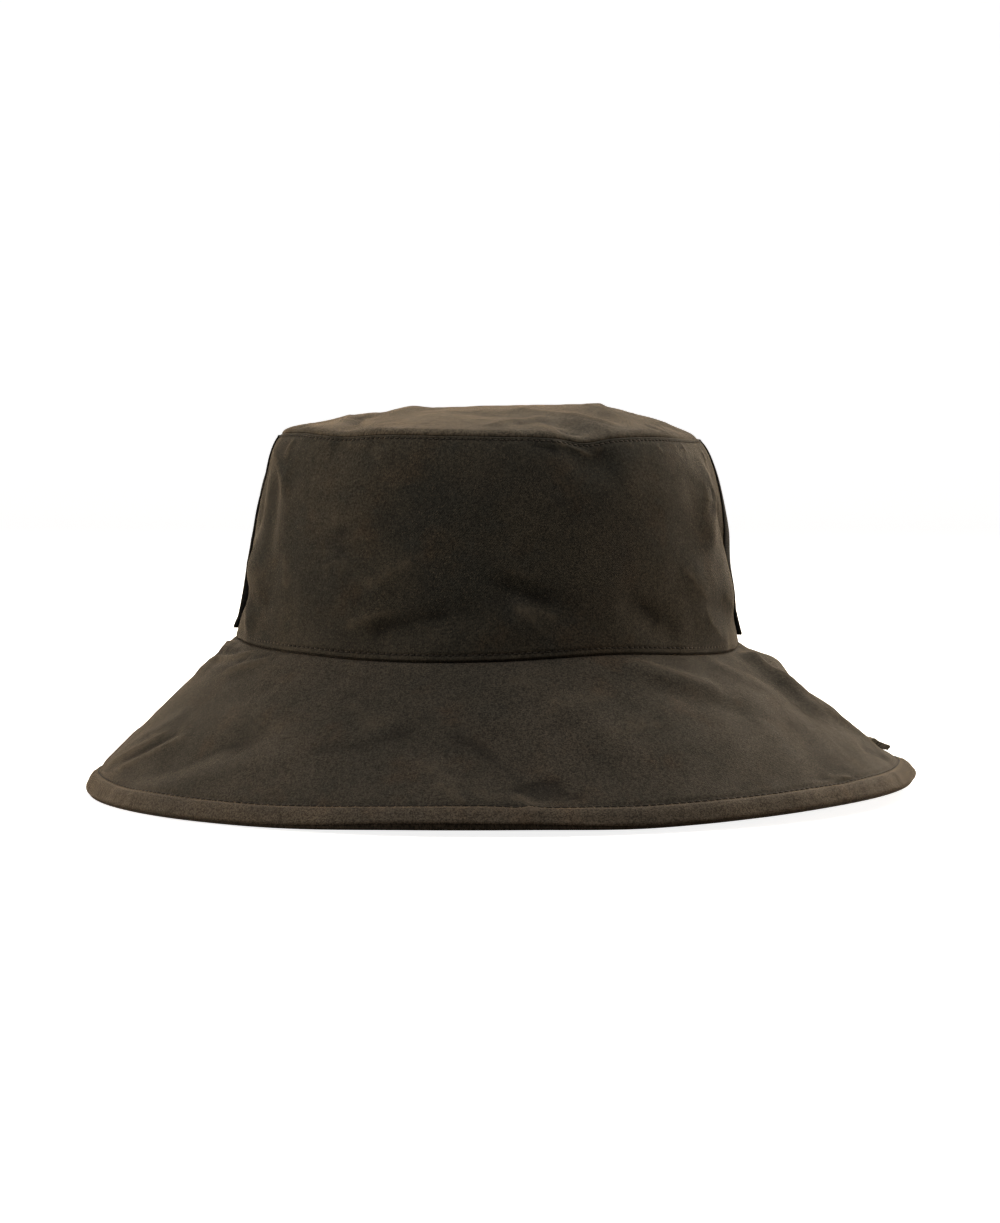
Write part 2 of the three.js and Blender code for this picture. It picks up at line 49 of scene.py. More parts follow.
# Sizes of the hat, the same as in its construction
HEAD_WIDTH = 177.6
HEAD_DEPTH = 191.6
CROWN_HEIGHT = 72.7
CROWN_TAPER = 16.5
CROWN_SHIFT = -3.2
TIP_RISE = 7.8
CLOTH = 1.6
BRIM_DROP = 55.4
BRIM_REACH = 57.4
BRIM_THICKNESS = 1.6
HEM_WIDTH = 8.0
HEM_LAYER = 1.1
HEM_FOOT = 2.4
TAPE_WIDTH = 12.0
TAPE_FLARE = 1.6
TAPE_END_GAP = 2.6
TAB_WIDTH = 7.6
TAB_LENGTH = 20.0
TAB_THICKNESS = 1.2
TAB_PLACE = 0.83
TAB_AZIMUTH = 96.0
SEAM_GAP = 0.3

SEAM_HALF_WIDTH = HEAD_WIDTH / 2 + CLOTH
SEAM_HALF_DEPTH = HEAD_DEPTH / 2 + CLOTH
MEAN_RADIUS = (SEAM_HALF_WIDTH + SEAM_HALF_DEPTH) / 2
BRIM_SLOPE = math.hypot(BRIM_REACH, BRIM_DROP)
SLOPE_ANGLE = math.atan2(BRIM_DROP, BRIM_REACH)
HEM_DEPTH = BRIM_THICKNESS + 2 * SEAM_GAP + HEM_LAYER
DOME_POWER = 2.1               # a higher power makes the tip's dome flatter in its middle
MIDDLE = np.array([-1.3561, 0.4144, 0.0])    # moves the middle of the outline to x = 0, y = 0

# Sewing
CROWN_PITCH = 2.3              # one stitch along the row above the brim seam
TIP_PITCH = 2.55               # the same under the tip seam, measured round the brim seam
HEM_PITCH = 2.75
CROWN_ROW = 2.2                # from the crown's lower edge up to its row of stitches
TIP_ROW = 1.0                  # from the crown's upper edge down to its row
HEM_ROW = 7.5                  # from the rim in to the hem's row
HEM_RADIUS = 146.0             # of the circle along which the hem's stitches are counted
THREAD = 0.19                  # half the thread's thickness
FAR = 50.0                     # a place on a stitch map that lies away from every row

# Heights of the creases and folds over those in the tables
WALL_CREASE = 1.3
TIP_CREASE = 1.35
TIP_FOLD = 1.2
CREASE_SPREAD = 1.4            # how much wider a crease is than its row says

# How the soft form changes round the hat: azimuth, seam dip and tip dip (shares of the brim's drop
# and the crown's height), rim lift, arch and roll (shares of the hem's width), reach, bulge
SECTIONS = np.array([
    (-180, 0.030, 0.010, 0.00, 0.14, 0.00, 1.000, 0.00),
    (-140, 0.020, 0.005, 0.00, 0.10, 0.00, 1.000, 0.02),
    (-90, 0.000, 0.010, 0.00, 0.11, 0.00, 0.985, -0.13),
    (-62, 0.028, 0.000, 0.04, 0.06, 0.00, 1.000, -0.03),
    (-42, 0.045, 0.018, 0.05, 0.06, 0.00, 1.000, 0.00),
    (-28, 0.061, 0.007, 0.08, 0.05, 0.02, 1.000, 0.00),
    (-12, 0.065, 0.012, 0.23, 0.05, 0.16, 1.000, 0.00),
    (4, 0.055, 0.016, 0.27, 0.06, 0.13, 1.000, 0.00),
    (18, 0.036, 0.024, 0.20, 0.06, 0.00, 1.000, 0.00),
    (27, 0.028, 0.046, 0.26, 0.06, 0.00, 1.000, 0.00),
    (36, 0.034, 0.025, 0.345, 0.06, 0.00, 1.000, 0.00),
    (52, 0.060, 0.020, 0.46, 0.05, 0.02, 1.000, 0.00),
    (72, 0.074, 0.032, 0.50, 0.09, 0.03, 1.026, 0.02),
    (92, 0.042, 0.030, 0.45, 0.05, 0.12, 1.038, -0.03),
    (114, 0.040, 0.020, 0.00, 0.10, 0.00, 1.010, 0.03),
    (145, 0.030, 0.014, 0.00, 0.14, 0.00, 1.000, 0.00),
], dtype=[(name, float) for name in
          ("azimuth", "seam_dip", "tip_dip", "lift", "arch", "roll", "reach", "bulge")])

# The crown's side from brim seam to tip seam: rise, and inset as a share of the taper
CROWN_PROFILE = np.array([
    (0.00, 0.00), (0.12, 0.06), (0.28, 0.135), (0.44, 0.25), (0.60, 0.37),
    (0.74, 0.50), (0.86, 0.67), (0.94, 0.83), (1.00, 1.00),
])

# Wide folds and dents. Each runs from one azimuth and place to another, with its half width and its
# height as shares of the crown's height, of the tip's rise or of the brim's reach. A place is the
# rise on the crown, the share of the way out on the tip and of the way down on the brim.
CROWN_FOLDS = [
    (-73, 0.94, -60, 0.80, 0.07, 0.022), (-80, 0.84, -76, 0.60, 0.07, -0.016),
    (-71.5, 0.18, -68.5, 0.12, 0.070, 0.030), (-65, 0.72, -62, 0.40, 0.09, -0.020),
    (-53, 0.62, -50, 0.24, 0.09, -0.006),
    (-72, 0.36, -64, 0.34, 0.12, 0.034), (-90, 0.205, -73, 0.215, 0.055, -0.026),
    (-22, 0.10, -4, 0.20, 0.08, -0.014), (6, 0.30, 17, 0.20, 0.08, -0.018),
    (34, 0.22, 44, 0.11, 0.08, -0.018), (56, 0.17, 67, 0.06, 0.07, 0.008),
    (58, 0.34, 74, 0.28, 0.12, 0.018), (72, 0.80, 66, 0.58, 0.09, 0.026),
    (60, 0.74, 55, 0.52, 0.09, -0.007), (80, 0.62, 84, 0.46, 0.08, -0.030),
    (84, 0.14, 76, 0.14, 0.07, -0.010), (22, 0.95, 31, 0.88, 0.07, -0.020),
    (-42, 0.96, -31, 0.93, 0.06, -0.018), (-134, 0.60, -122, 0.20, 0.12, -0.030),
    (118, 0.26, 138, 0.44, 0.12, -0.028), (-92, 0.92, -88, 0.78, 0.10, -0.016),
    (-98, 0.14, -88, 0.16, 0.11, -0.020), (86, 0.93, 94, 0.58, 0.15, 0.028),
    (88, 0.12, 98, 0.14, 0.10, -0.006), (168, 0.52, -168, 0.40, 0.12, -0.018),
]
TIP_FOLDS = [
    (-66, 0.40, -34, 0.94, 0.75, 0.15), (-60, 0.66, -44, 0.92, 0.65, -0.20),
    (-84, 0.60, -70, 0.96, 0.70, 0.10), (-10, 0.55, 14, 0.72, 0.80, -0.12),
    (20, 0.52, 36, 0.90, 0.70, 0.15), (24, 0.84, 31, 0.98, 0.60, -0.16),
    (60, 0.60, 48, 0.94, 0.75, 0.10), (84, 0.72, 72, 0.96, 0.70, -0.12),
    (62, 0.62, 112, 0.66, 2.50, 0.30), (-70, 0.84, -104, 0.84, 1.60, -0.17),
    (20, 0.26, 60, 0.26, 2.20, -0.10), (150, 0.30, 128, 0.84, 0.95, -0.12),
    (-140, 0.70, 172, 0.62, 0.95, -0.10),
]
BRIM_FOLDS = [
    (-82, 0.08, -72, 0.03, 0.060, 0.018), (-82, 0.22, -58, 0.06, 0.080, 0.018),
    (-74, 0.14, -62, 0.08, 0.060, -0.022), (-66, 0.50, -82, 0.86, 0.080, 0.016),
    (-40, 0.50, -62, 0.84, 0.110, -0.020), (-30, 0.64, -52, 0.84, 0.100, 0.012),
    (-28, 0.30, -26, 0.76, 0.150, 0.014), (2, 0.50, 6, 0.84, 0.100, -0.026),
    (12, 0.24, 19, 0.58, 0.140, 0.024), (30, 0.08, 46, 0.22, 0.080, 0.020),
    (34, 0.24, 48, 0.38, 0.090, -0.016), (56, 0.10, 64, 0.26, 0.070, 0.010),
    (75, 0.07, 73, 0.44, 0.070, 0.026), (74, 0.50, 82, 0.60, 0.080, 0.010),
    (77, 0.07, 92, 0.20, 0.130, 0.044), (76, 0.26, 82, 0.50, 0.115, 0.030),
    (92, 0.44, 90, 0.60, 0.110, -0.012), (86, 0.76, 100, 0.80, 0.080, -0.024),
    (58, 0.56, 54, 0.84, 0.110, -0.018), (128, 0.20, 132, 0.74, 0.140, -0.028),
    (164, 0.30, 160, 0.80, 0.160, 0.026), (-160, 0.24, -166, 0.72, 0.140, -0.024),
    (-122, 0.16, -126, 0.60, 0.120, 0.026),
]

# Sharp creases of the cloth: a path of (azimuth, place) points, then half width, height and lean.
# A crease that leans has one flank steeper than the other, and a hollow has a negative height.
CROWN_CREASES = [
    ([(-74, 0.95), (-68, 0.89), (-60, 0.79)], 1.5, 0.55, 0.4),
    ([(-68, 0.72), (-64, 0.58), (-59, 0.43)], 2.6, 0.12, 0.3),
    ([(-78, 0.80), (-76, 0.66), (-72, 0.56)], 1.7, -0.22, 0.2),
    ([(-86, 0.25), (-79.5, 0.235), (-74, 0.22), (-70, 0.205)], 1.1, -1.00, 0.3),
    ([(-80, 0.19), (-76, 0.215), (-73, 0.222)], 0.9, -0.60, 0.0),
    ([(-54, 0.49), (-53, 0.36), (-51, 0.25)], 4.0, 0.42, 0.2),
    ([(-63, 0.34), (-60, 0.26), (-58, 0.16)], 4.4, -0.35, 0.0),
    ([(-28, 0.09), (-22, 0.145), (-13, 0.188), (-4, 0.215)], 3.2, -0.46, 0.3),
    ([(-31, 0.26), (-21, 0.40), (-11, 0.51)], 4.6, 0.50, 0.0),
    ([(-36, 0.62), (-35, 0.52), (-34, 0.43)], 5.5, -0.50, 0.0),
    ([(-34, 0.12), (-27, 0.18), (-16, 0.245)], 2.4, 0.40, 0.1),
    ([(-5, 0.40), (2, 0.35), (8, 0.295), (13, 0.25), (18, 0.215)], 3.6, -0.40, 0.4),
    ([(0, 0.44), (9, 0.37), (18, 0.28)], 2.6, 0.34, 0.2),
    ([(4, 0.24), (11, 0.21), (18, 0.17)], 2.2, 0.36, 0.0),
    ([(35, 0.24), (38, 0.21), (40.5, 0.173), (43, 0.13)], 1.9, -0.38, -0.3),
    ([(57, 0.25), (59, 0.16), (62, 0.11), (66, 0.065)], 1.2, 0.26, 0.3),
    ([(49, 0.43), (52.5, 0.357), (56, 0.29), (61, 0.23)], 3.6, 0.55, 0.2),
    ([(66, 0.30), (72, 0.22), (77, 0.18)], 1.6, 0.32, 0.2),
    ([(68, 0.82), (66, 0.71), (62, 0.62)], 1.0, 0.36, 0.3),
    ([(73, 0.81), (71.5, 0.71), (68, 0.63)], 1.0, 0.36, -0.2),
    ([(70.5, 0.80), (69, 0.71), (65, 0.63)], 0.9, -0.26, 0.0),
    ([(79, 0.97), (78, 0.89), (75, 0.82)], 1.3, 0.40, 0.2),
    ([(50, 0.975), (52, 0.92)], 0.9, 0.26, 0.0),
    ([(64, 0.985), (65, 0.93)], 0.9, 0.28, 0.0),
    ([(40, 0.98), (41, 0.94)], 0.8, 0.20, 0.0),
    ([(12, 0.992), (18, 0.988), (22, 0.975), (26, 0.955), (31, 0.915)], 1.0, 0.62, -0.3),
    ([(10, 0.965), (15, 0.955), (20, 0.935)], 1.3, -0.42, 0.1),
    ([(33, 0.965), (30, 0.935), (27, 0.925)], 1.1, -0.30, 0.1),
    ([(-41, 0.965), (-36, 0.955), (-31, 0.96)], 1.1, 0.36, 0.0),
    ([(-30, 0.97), (-26, 0.95)], 0.9, -0.24, 0.0),
    ([(-62, 0.985), (-63, 0.93), (-60, 0.86)], 1.1, 0.40, 0.0),
    ([(-140, 0.62), (-130, 0.40), (-124, 0.22)], 2.0, -0.40, 0.3),
    ([(-150, 0.50), (-142, 0.34), (-139, 0.16)], 1.6, 0.36, -0.3),
    ([(-112, 0.90), (-116, 0.70), (-112, 0.52)], 1.6, 0.36, 0.3),
    ([(116, 0.24), (126, 0.36), (140, 0.46)], 1.9, -0.40, 0.3),
    ([(112, 0.84), (118, 0.66), (116, 0.50)], 1.5, 0.36, 0.2),
    ([(150, 0.90), (156, 0.74), (153, 0.60)], 1.5, 0.34, -0.2),
    ([(166, 0.54), (178, 0.46), (192, 0.42)], 2.1, -0.34, 0.3),
    ([(100, 0.10), (108, 0.14), (116, 0.11)], 1.4, 0.32, 0.2),
    ([(-168, 0.14), (-160, 0.10), (-150, 0.13)], 1.5, 0.32, 0.2),
]
TIP_CREASES = [
    ([(-34, 0.975), (-42, 0.86), (-52, 0.74), (-64, 0.64), (-76, 0.58)], 1.6, 0.62, -0.3),
    ([(-56, 0.82), (-68, 0.72), (-82, 0.66)], 1.5, 0.40, 0.3),
    ([(-46, 0.84), (-56, 0.72), (-66, 0.62)], 2.4, -0.60, 0.0),
    ([(-64, 0.975), (-70, 0.88)], 1.4, 0.40, 0.0),
    ([(-2, 0.90), (6, 0.83), (15, 0.75), (25, 0.68)], 1.5, 0.80, -0.4),
    ([(6, 0.91), (15, 0.82), (24, 0.75)], 2.6, -0.50, 0.0),
    ([(43, 0.95), (39, 0.86), (35, 0.76), (29, 0.66)], 1.4, 0.80, -0.3),
    ([(80, 0.50), (66, 0.58), (55, 0.68), (48, 0.80)], 1.7, 0.50, -0.3),
    ([(65, 0.95), (66, 0.86), (69, 0.76), (76, 0.66)], 1.6, 0.60, 0.3),
    ([(96, 0.72), (89, 0.80), (82, 0.88), (77, 0.95)], 1.5, 0.45, 0.2),
    ([(20, 0.90), (24, 0.93), (28, 0.91)], 1.6, -0.55, 0.0),
    ([(54, 0.91), (59, 0.95)], 1.2, -0.40, 0.0),
    ([(150, 0.28), (140, 0.56), (134, 0.86)], 3.0, -0.40, 0.3),
    ([(-140, 0.72), (-160, 0.60), (176, 0.58)], 2.8, 0.36, 0.3),
    ([(-112, 0.90), (-122, 0.70), (-140, 0.46)], 2.6, 0.36, -0.3),
    ([(112, 0.90), (120, 0.66), (122, 0.40)], 2.6, 0.36, 0.2),
]
BRIM_CREASES = [
    ([(-86, 0.06), (-82, 0.034), (-75, 0.008)], 1.2, 0.90, 0.3),
    ([(-86, 0.19), (-76, 0.122), (-66, 0.075), (-59, 0.01)], 1.3, 1.15, 0.3),
    ([(-67, 0.22), (-61, 0.14), (-56, 0.10), (-51, 0.02)], 1.3, 1.00, 0.2),
    ([(-84, 0.115), (-76, 0.08), (-66, 0.04)], 1.6, -0.85, 0.0),
    ([(-90, 0.61), (-89, 0.70), (-86, 0.84), (-88, 0.91)], 1.3, 0.55, 0.3),
    ([(-64, 0.54), (-66, 0.61), (-70, 0.70), (-76, 0.82), (-80, 0.89)], 1.5, 0.85, 0.2),
    ([(-56, 0.54), (-60, 0.61), (-65, 0.73), (-69, 0.81), (-74, 0.88)], 1.5, 0.70, 0.2),
    ([(-60, 0.54), (-63, 0.61), (-68, 0.72), (-73, 0.82)], 1.5, -0.50, 0.0),
    ([(-33, 0.47), (-46, 0.59), (-54, 0.74), (-61, 0.86)], 7.0, -0.60, 0.0),
    ([(-31, 0.60), (-43, 0.69), (-53, 0.81)], 6.0, 0.40, 0.0),
    ([(77, 0.015), (75, 0.09), (74.5, 0.19), (75.5, 0.28), (76, 0.36), (75.8, 0.45), (77, 0.53),
      (79, 0.60), (80.3, 0.67), (82, 0.74), (84.5, 0.80), (89, 0.87)], 1.6, 1.20, 0.35),
    ([(72, 0.72), (76, 0.80), (80, 0.87)], 3.0, -0.75, 0.0),
    ([(70, 0.10), (68, 0.20), (69, 0.32), (68, 0.44), (70, 0.56)], 3.4, -0.25, 0.0),
    ([(55, 0.04), (61, 0.14), (67, 0.23)], 2.0, 0.35, 0.3),
    ([(29, 0.01), (35, 0.072), (41, 0.143), (48, 0.21)], 2.8, 0.60, 0.2),
    ([(53, 0.84), (56, 0.87), (60, 0.905)], 1.0, 0.60, 0.0),
    ([(47, 0.84), (53, 0.86), (57, 0.865)], 1.2, -0.30, 0.0),
    ([(-10, 0.38), (-2, 0.53), (4, 0.74), (9, 0.90)], 7.0, -0.95, 0.2),
    ([(-17, 0.52), (-7, 0.72), (-1, 0.84), (3, 0.91)], 6.0, 0.75, 0.0),
    ([(2, 0.06), (9, 0.22), (14, 0.42)], 9.0, 0.60, 0.0),
    ([(17, 0.16), (22, 0.35), (27, 0.52)], 9.0, 0.60, 0.0),
    ([(-28, 0.25), (-21, 0.34), (-15, 0.43)], 6.0, 0.50, 0.0),
    ([(-50, 0.27), (-42, 0.40), (-33, 0.53)], 7.0, 0.50, 0.0),
    ([(-8, 0.75), (-6, 0.80), (-4.5, 0.87), (-3, 0.90)], 1.1, 0.60, 0.3),
    ([(2, 0.80), (4, 0.89), (5.5, 0.99)], 1.4, 0.85, -0.4),
    ([(6, 0.70), (9, 0.80), (13, 0.90)], 4.0, -0.60, 0.2),
    ([(-34, 0.62), (-20, 0.52), (-8, 0.36)], 8.0, -0.55, 0.0),
    ([(86, 0.10), (92, 0.20), (99, 0.26)], 1.7, 0.46, 0.2),
    ([(86, 0.735), (90, 0.73), (93, 0.75)], 1.2, 0.50, 0.0),
    ([(126, 0.18), (131, 0.42), (132, 0.72)], 2.4, -0.42, 0.3),
    ([(112, 0.30), (117, 0.48), (115, 0.70)], 1.9, 0.40, 0.3),
    ([(150, 0.08), (147, 0.24), (152, 0.40)], 1.8, 0.42, -0.3),
    ([(168, 0.36), (163, 0.58), (160, 0.80)], 2.4, 0.36, 0.3),
    ([(-162, 0.26), (-165, 0.50), (-168, 0.74)], 2.4, -0.40, 0.3),
    ([(-146, 0.10), (-141, 0.24), (-143, 0.42)], 1.7, 0.40, 0.2),
    ([(-120, 0.16), (-124, 0.36), (-127, 0.62)], 2.2, 0.42, 0.3),
    ([(-106, 0.56), (-104, 0.70), (-107, 0.86)], 1.8, -0.36, 0.0),
]


# Helpers for whole arrays of places

def smoothstep(value, low, high):
    """0 below low, 1 above high and 3t^2 - 2t^3 between them."""
    share = np.clip((value - low) / (high - low), 0, 1)
    return share * share * (3 - 2 * share)


def bell(distance, width):
    """exp(-(distance / width)^2)."""
    return np.exp(-(distance / width) ** 2)


def turn_between(start, end):
    """The nearest way round from one azimuth to another, in degrees."""
    return np.mod(end - start + 180, 360) - 180


def cubic(share, start, end, start_slope, end_slope):
    """The cubic in t from a to b with the slopes a' and b' at its ends: (2t^3 - 3t^2 + 1) a
    + (t^3 - 2t^2 + t) a' + (3t^2 - 2t^3) b + (t^3 - t^2) b'."""
    square = share * share
    cube = square * share
    return ((2 * cube - 3 * square + 1) * start + (cube - 2 * square + share) * start_slope
            + (3 * square - 2 * cube) * end + (cube - square) * end_slope)


def hermite(at, values, place):
    """A smooth curve through rows: each span is the cubic whose slopes at its two ends are those of
    the line from the row before to the row after."""
    here = np.clip(np.searchsorted(at, place, side="right") - 1, 1, len(at) - 3)
    span = at[here + 1] - at[here]
    share = (place - at[here]) / span
    start = values[here]
    end = values[here + 1]
    start_slope = (end - values[here - 1]) / (at[here + 1] - at[here - 1]) * span
    end_slope = (values[here + 2] - start) / (at[here + 2] - at[here]) * span
    return cubic(share, start, end, start_slope, end_slope)


def around_hat(column, azimuth):
    """A column of SECTIONS as a smooth curve that closes round the hat."""
    at = SECTIONS["azimuth"]
    value = SECTIONS[column]
    at = np.concatenate([at[-2:] - 360, at, at[:2] + 360])
    value = np.concatenate([value[-2:], value, value[:2]])
    return hermite(at, value, np.mod(azimuth + 180, 360) - 180)


def crown_inset(rise):
    """The crown's lean inwards at a rise, a smooth curve through CROWN_PROFILE."""
    at, inset = CROWN_PROFILE.T
    at = np.concatenate([[-0.12], at, [1.05]])
    inset = np.concatenate([[-0.09], inset, [1.14]])
    return CROWN_TAPER * hermite(at, inset, rise)


def run_distance(x, y, along_x, along_y):
    """The distance from (x, y) to the straight run from (0, 0) to (along_x, along_y)."""
    share = np.clip((x * along_x + y * along_y) / (along_x ** 2 + along_y ** 2), 0, 1)
    return np.hypot(x - share * along_x, y - share * along_y)


def wall_folds(folds, azimuth, place, length, size):
    """The sum over the folds of height * exp(-(distance to the fold's straight run / width)^2), on the
    flattened cloth, where x is the azimuth in radians times the mean radius and y = place * length."""
    total = np.zeros(np.broadcast(azimuth, place).shape)
    to_length = math.radians(1) * MEAN_RADIUS
    for start, start_place, end, end_place, width, height in folds:
        along_x = turn_between(start, end) * to_length
        along_y = (end_place - start_place) * length
        x = turn_between(start, azimuth) * to_length
        y = (place - start_place) * length
        distance = run_distance(x, y, along_x, along_y)
        total = total + height * size * bell(distance, width * size)
    return total


def crease_height(x, y, path, width, height, lean):
    """A crease along a path: height * exp(-|d / w|^1.25), where d is the distance to the path and
    w = spread * width * (1 + lean) on its left and (1 - lean) on its right, faded out over the first
    and the last 0.3 of the path. x, y and path are in millimetres on the flattened cloth."""
    steps = np.linspace(0, len(path) - 1, 6 * (len(path) - 1) + 1)
    padded = np.concatenate([2 * path[:1] - path[1:2], path, 2 * path[-1:] - path[-2:-1]])
    at = np.arange(-1, len(path) + 1.0)
    line = np.stack([hermite(at, padded[:, axis], steps) for axis in (0, 1)], axis=1)
    reach = 5 * width
    low = line.min(axis=0) - reach
    high = line.max(axis=0) + reach
    near = (x > low[0]) & (x < high[0]) & (y > low[1]) & (y < high[1])
    total = np.zeros(x.shape)
    px = x[near]
    py = y[near]
    best = np.full(px.shape, 1e9)
    side = np.zeros(px.shape)
    along = np.zeros(px.shape)
    count = len(line) - 1
    for index in range(count):
        (x0, y0), (x1, y1) = line[index], line[index + 1]
        dx, dy = x1 - x0, y1 - y0
        share = np.clip(((px - x0) * dx + (py - y0) * dy) / (dx * dx + dy * dy), 0, 1)
        distance = np.hypot(px - x0 - share * dx, py - y0 - share * dy)
        closer = distance < best
        best = np.where(closer, distance, best)
        side = np.where(closer, np.sign(dx * (py - y0) - dy * (px - x0)), side)
        along = np.where(closer, (index + share) / count, along)
    fade = smoothstep(along, 0, 0.3) * smoothstep(1 - along, 0, 0.3)
    flank = CREASE_SPREAD * width * (1 + lean * side)
    total[near] = height * fade * np.exp(-(best / flank) ** 1.25)
    return total


def wall_creases(creases, azimuth, place, length):
    """The sum of the creases of a wall, on the same flattened cloth as its folds."""
    to_length = math.radians(1) * MEAN_RADIUS
    azimuth, place = np.broadcast_arrays(azimuth, place)
    total = np.zeros(azimuth.shape)
    for path, width, height, lean in creases:
        points = np.array(path, float)
        first = points[0, 0]
        points[:, 0] = (points[:, 0] - first) * to_length
        points[:, 1] *= length
        x = turn_between(first, azimuth) * to_length
        total += WALL_CREASE * crease_height(x, place * length, points, width, height, lean)
    return total


def smooth_noise(points, size, seed):
    """Gradient noise from about -1 to 1: space is cut into cubes of one size, each corner has a slope
    that is hashed from its numbers and the seed, and the slopes blend by 6t^5 - 15t^4 + 10t^3."""
    cell = points / size + 61.7 * seed
    corner = np.floor(cell).astype(np.int64)
    inside = cell - corner
    ease = inside ** 3 * (inside * (inside * 6 - 15) + 10)
    total = np.zeros(points.shape[:-1])
    for step in itertools.product((0, 1), repeat=3):
        at = corner + np.array(step)
        mixed = (at[..., 0] * 73856093) ^ (at[..., 1] * 19349663) ^ (at[..., 2] * 83492791)
        mixed = (mixed ^ (mixed >> 13)) * 1274126177 & 0x7FFFFFFF
        mixed = (mixed ^ (mixed >> 15)) * 2246822519 & 0x7FFFFFFF
        slope = np.stack([(mixed >> shift & 255) / 127.5 - 1 for shift in (3, 11, 19)], axis=-1)
        weight = np.prod(np.where(np.array(step) == 1, ease, 1 - ease), axis=-1)
        total += weight * np.sum(slope * (inside - np.array(step)), axis=-1)
    return total * 1.35


def soft_waves(points, seed):
    """The cloth's slow waves: noise of 48 mm, 21 mm and 9 mm cells."""
    return (0.70 * smooth_noise(points, 48, seed) + 0.42 * smooth_noise(points, 21, seed + 1)
            + 0.12 * smooth_noise(points, 9, seed + 2))


def crumples(points, size, seed):
    """A net of fine soft ridges: (1 - 2|n|)^3 of a noise n, read at places that a wider noise has
    pushed about, so that the ridges wander."""
    push = np.stack([smooth_noise(points, size * 2.2, seed + k) for k in (1, 2, 3)], axis=-1)
    ridge = np.clip(1 - 2 * np.abs(smooth_noise(points + push * size * 0.6, size, seed)), 0, 1)
    return ridge ** 3


def edge_round(distance, radius):
    """How far a rounded edge falls away: radius * (1 - sqrt(1 - (1 - distance / radius)^2))."""
    near = np.clip(1 - distance / radius, 0, 1)
    return radius * (1 - np.sqrt(np.clip(1 - near * near, 0, 1)))


def graded(length, fine, coarse, margin):
    """Steps from 0 to a length, fine near both ends and coarse between them, as shares of the length."""
    places = np.linspace(0, length, 4001)
    nearest = np.minimum(places, length - places)
    step = fine + (coarse - fine) * smoothstep(nearest, margin, 2.5 * margin)
    travelled = np.concatenate([[0], np.cumsum((places[1] - places[0]) / step[1:])])
    count = int(math.ceil(travelled[-1]))
    return np.interp(np.linspace(0, travelled[-1], count + 1), travelled, places) / length


# The hat's surfaces

def oval(azimuth, outward, height, shift=CROWN_SHIFT):
    """Points outside the seam's oval by a distance: ((a + d) sin, -(b + d) cos, height)."""
    angle = np.radians(azimuth)
    x = (SEAM_HALF_WIDTH + outward) * np.sin(angle) + shift
    y = -(SEAM_HALF_DEPTH + outward) * np.cos(angle)
    return np.stack(np.broadcast_arrays(x, y, height), axis=-1) + MIDDLE


def seam_height(azimuth):
    """The brim's drop less the seam's dip."""
    return BRIM_DROP * (1 - around_hat("seam_dip", azimuth))


def tip_seam_height(azimuth):
    """The drop plus the crown's height less the tip's dip."""
    return BRIM_DROP + CROWN_HEIGHT * (1 - around_hat("tip_dip", azimuth))


def crown_outward(azimuth, rise):
    """How far outside the seam's oval the crown's side lies: a bulge that is a parabola over the rise,
    plus the folds, less the lean inwards."""
    bulge = CROWN_TAPER * around_hat("bulge", azimuth) * 4 * rise * (1 - rise)
    folds = wall_folds(CROWN_FOLDS, azimuth, rise, CROWN_HEIGHT, CROWN_HEIGHT)
    return bulge + folds - crown_inset(rise)


def crown_height(azimuth, rise):
    """The share of the way from the brim seam to the tip seam."""
    return seam_height(azimuth) * (1 - rise) + tip_seam_height(azimuth) * rise


def crown_relief(azimuth, rise):
    """The crown's creases, slow waves and fine crumples, in millimetres outwards. Near both seams the
    cloth is held, so the waves are a third as high there."""
    azimuth, rise = np.broadcast_arrays(azimuth, rise)
    place = oval(azimuth, crown_outward(azimuth, rise), crown_height(azimuth, rise))
    held = 0.33 + 0.67 * smoothstep(np.minimum(rise, 1 - rise), 0, 0.16)
    rough = crumples(place, 11, 5) * smoothstep(smooth_noise(place, 40, 9), -0.15, 0.35)
    creases = wall_creases(CROWN_CREASES, azimuth, rise, CROWN_HEIGHT)
    return creases + held * (soft_waves(place, 3) + 0.16 * rough)


def crown_surface(azimuth, rise, raised=0.0, cloth_relief=None):
    """Points of the crown's outer face, or so far outside it."""
    if cloth_relief is None:
        cloth_relief = crown_relief(azimuth, rise)
    outward = crown_outward(azimuth, rise) + cloth_relief + raised
    return oval(azimuth, outward, crown_height(azimuth, rise))


def seam_puckers(azimuth, distance, pitch, reach, seed):
    """Small waves of the cloth along a sewn edge: a noise along the seam that dies out away from it."""
    angle = np.radians(azimuth)
    ring = np.stack(np.broadcast_arrays(MEAN_RADIUS * np.sin(angle), MEAN_RADIUS * np.cos(angle),
                                        0.35 * distance), axis=-1)
    return smooth_noise(ring, pitch, seed) * np.exp(-distance / reach)


def stitched_row(distance, row, pitch_share):
    """The hollow that a row of stitches pulls: a narrow bell across the row, a fifth deeper at the
    stitch holes, with the cloth swelling softly on both of its sides."""
    hollow = bell(distance - row, 0.45) * (0.19 + 0.05 * np.cos(2 * math.pi * pitch_share))
    swell = 0.07 * bell(distance - row - 1.3, 0.8) + 0.05 * bell(distance - row + 0.9, 0.6)
    return swell - hollow


def row_sunk(azimuth):
    """Where the lower row of stitches lies sunk in the cloth, beside both ends of the front: 0 to 1."""
    turned = np.abs(turn_between(0, azimuth))
    return smoothstep(turned, 44, 56) * (1 - smoothstep(turned, 96, 112))


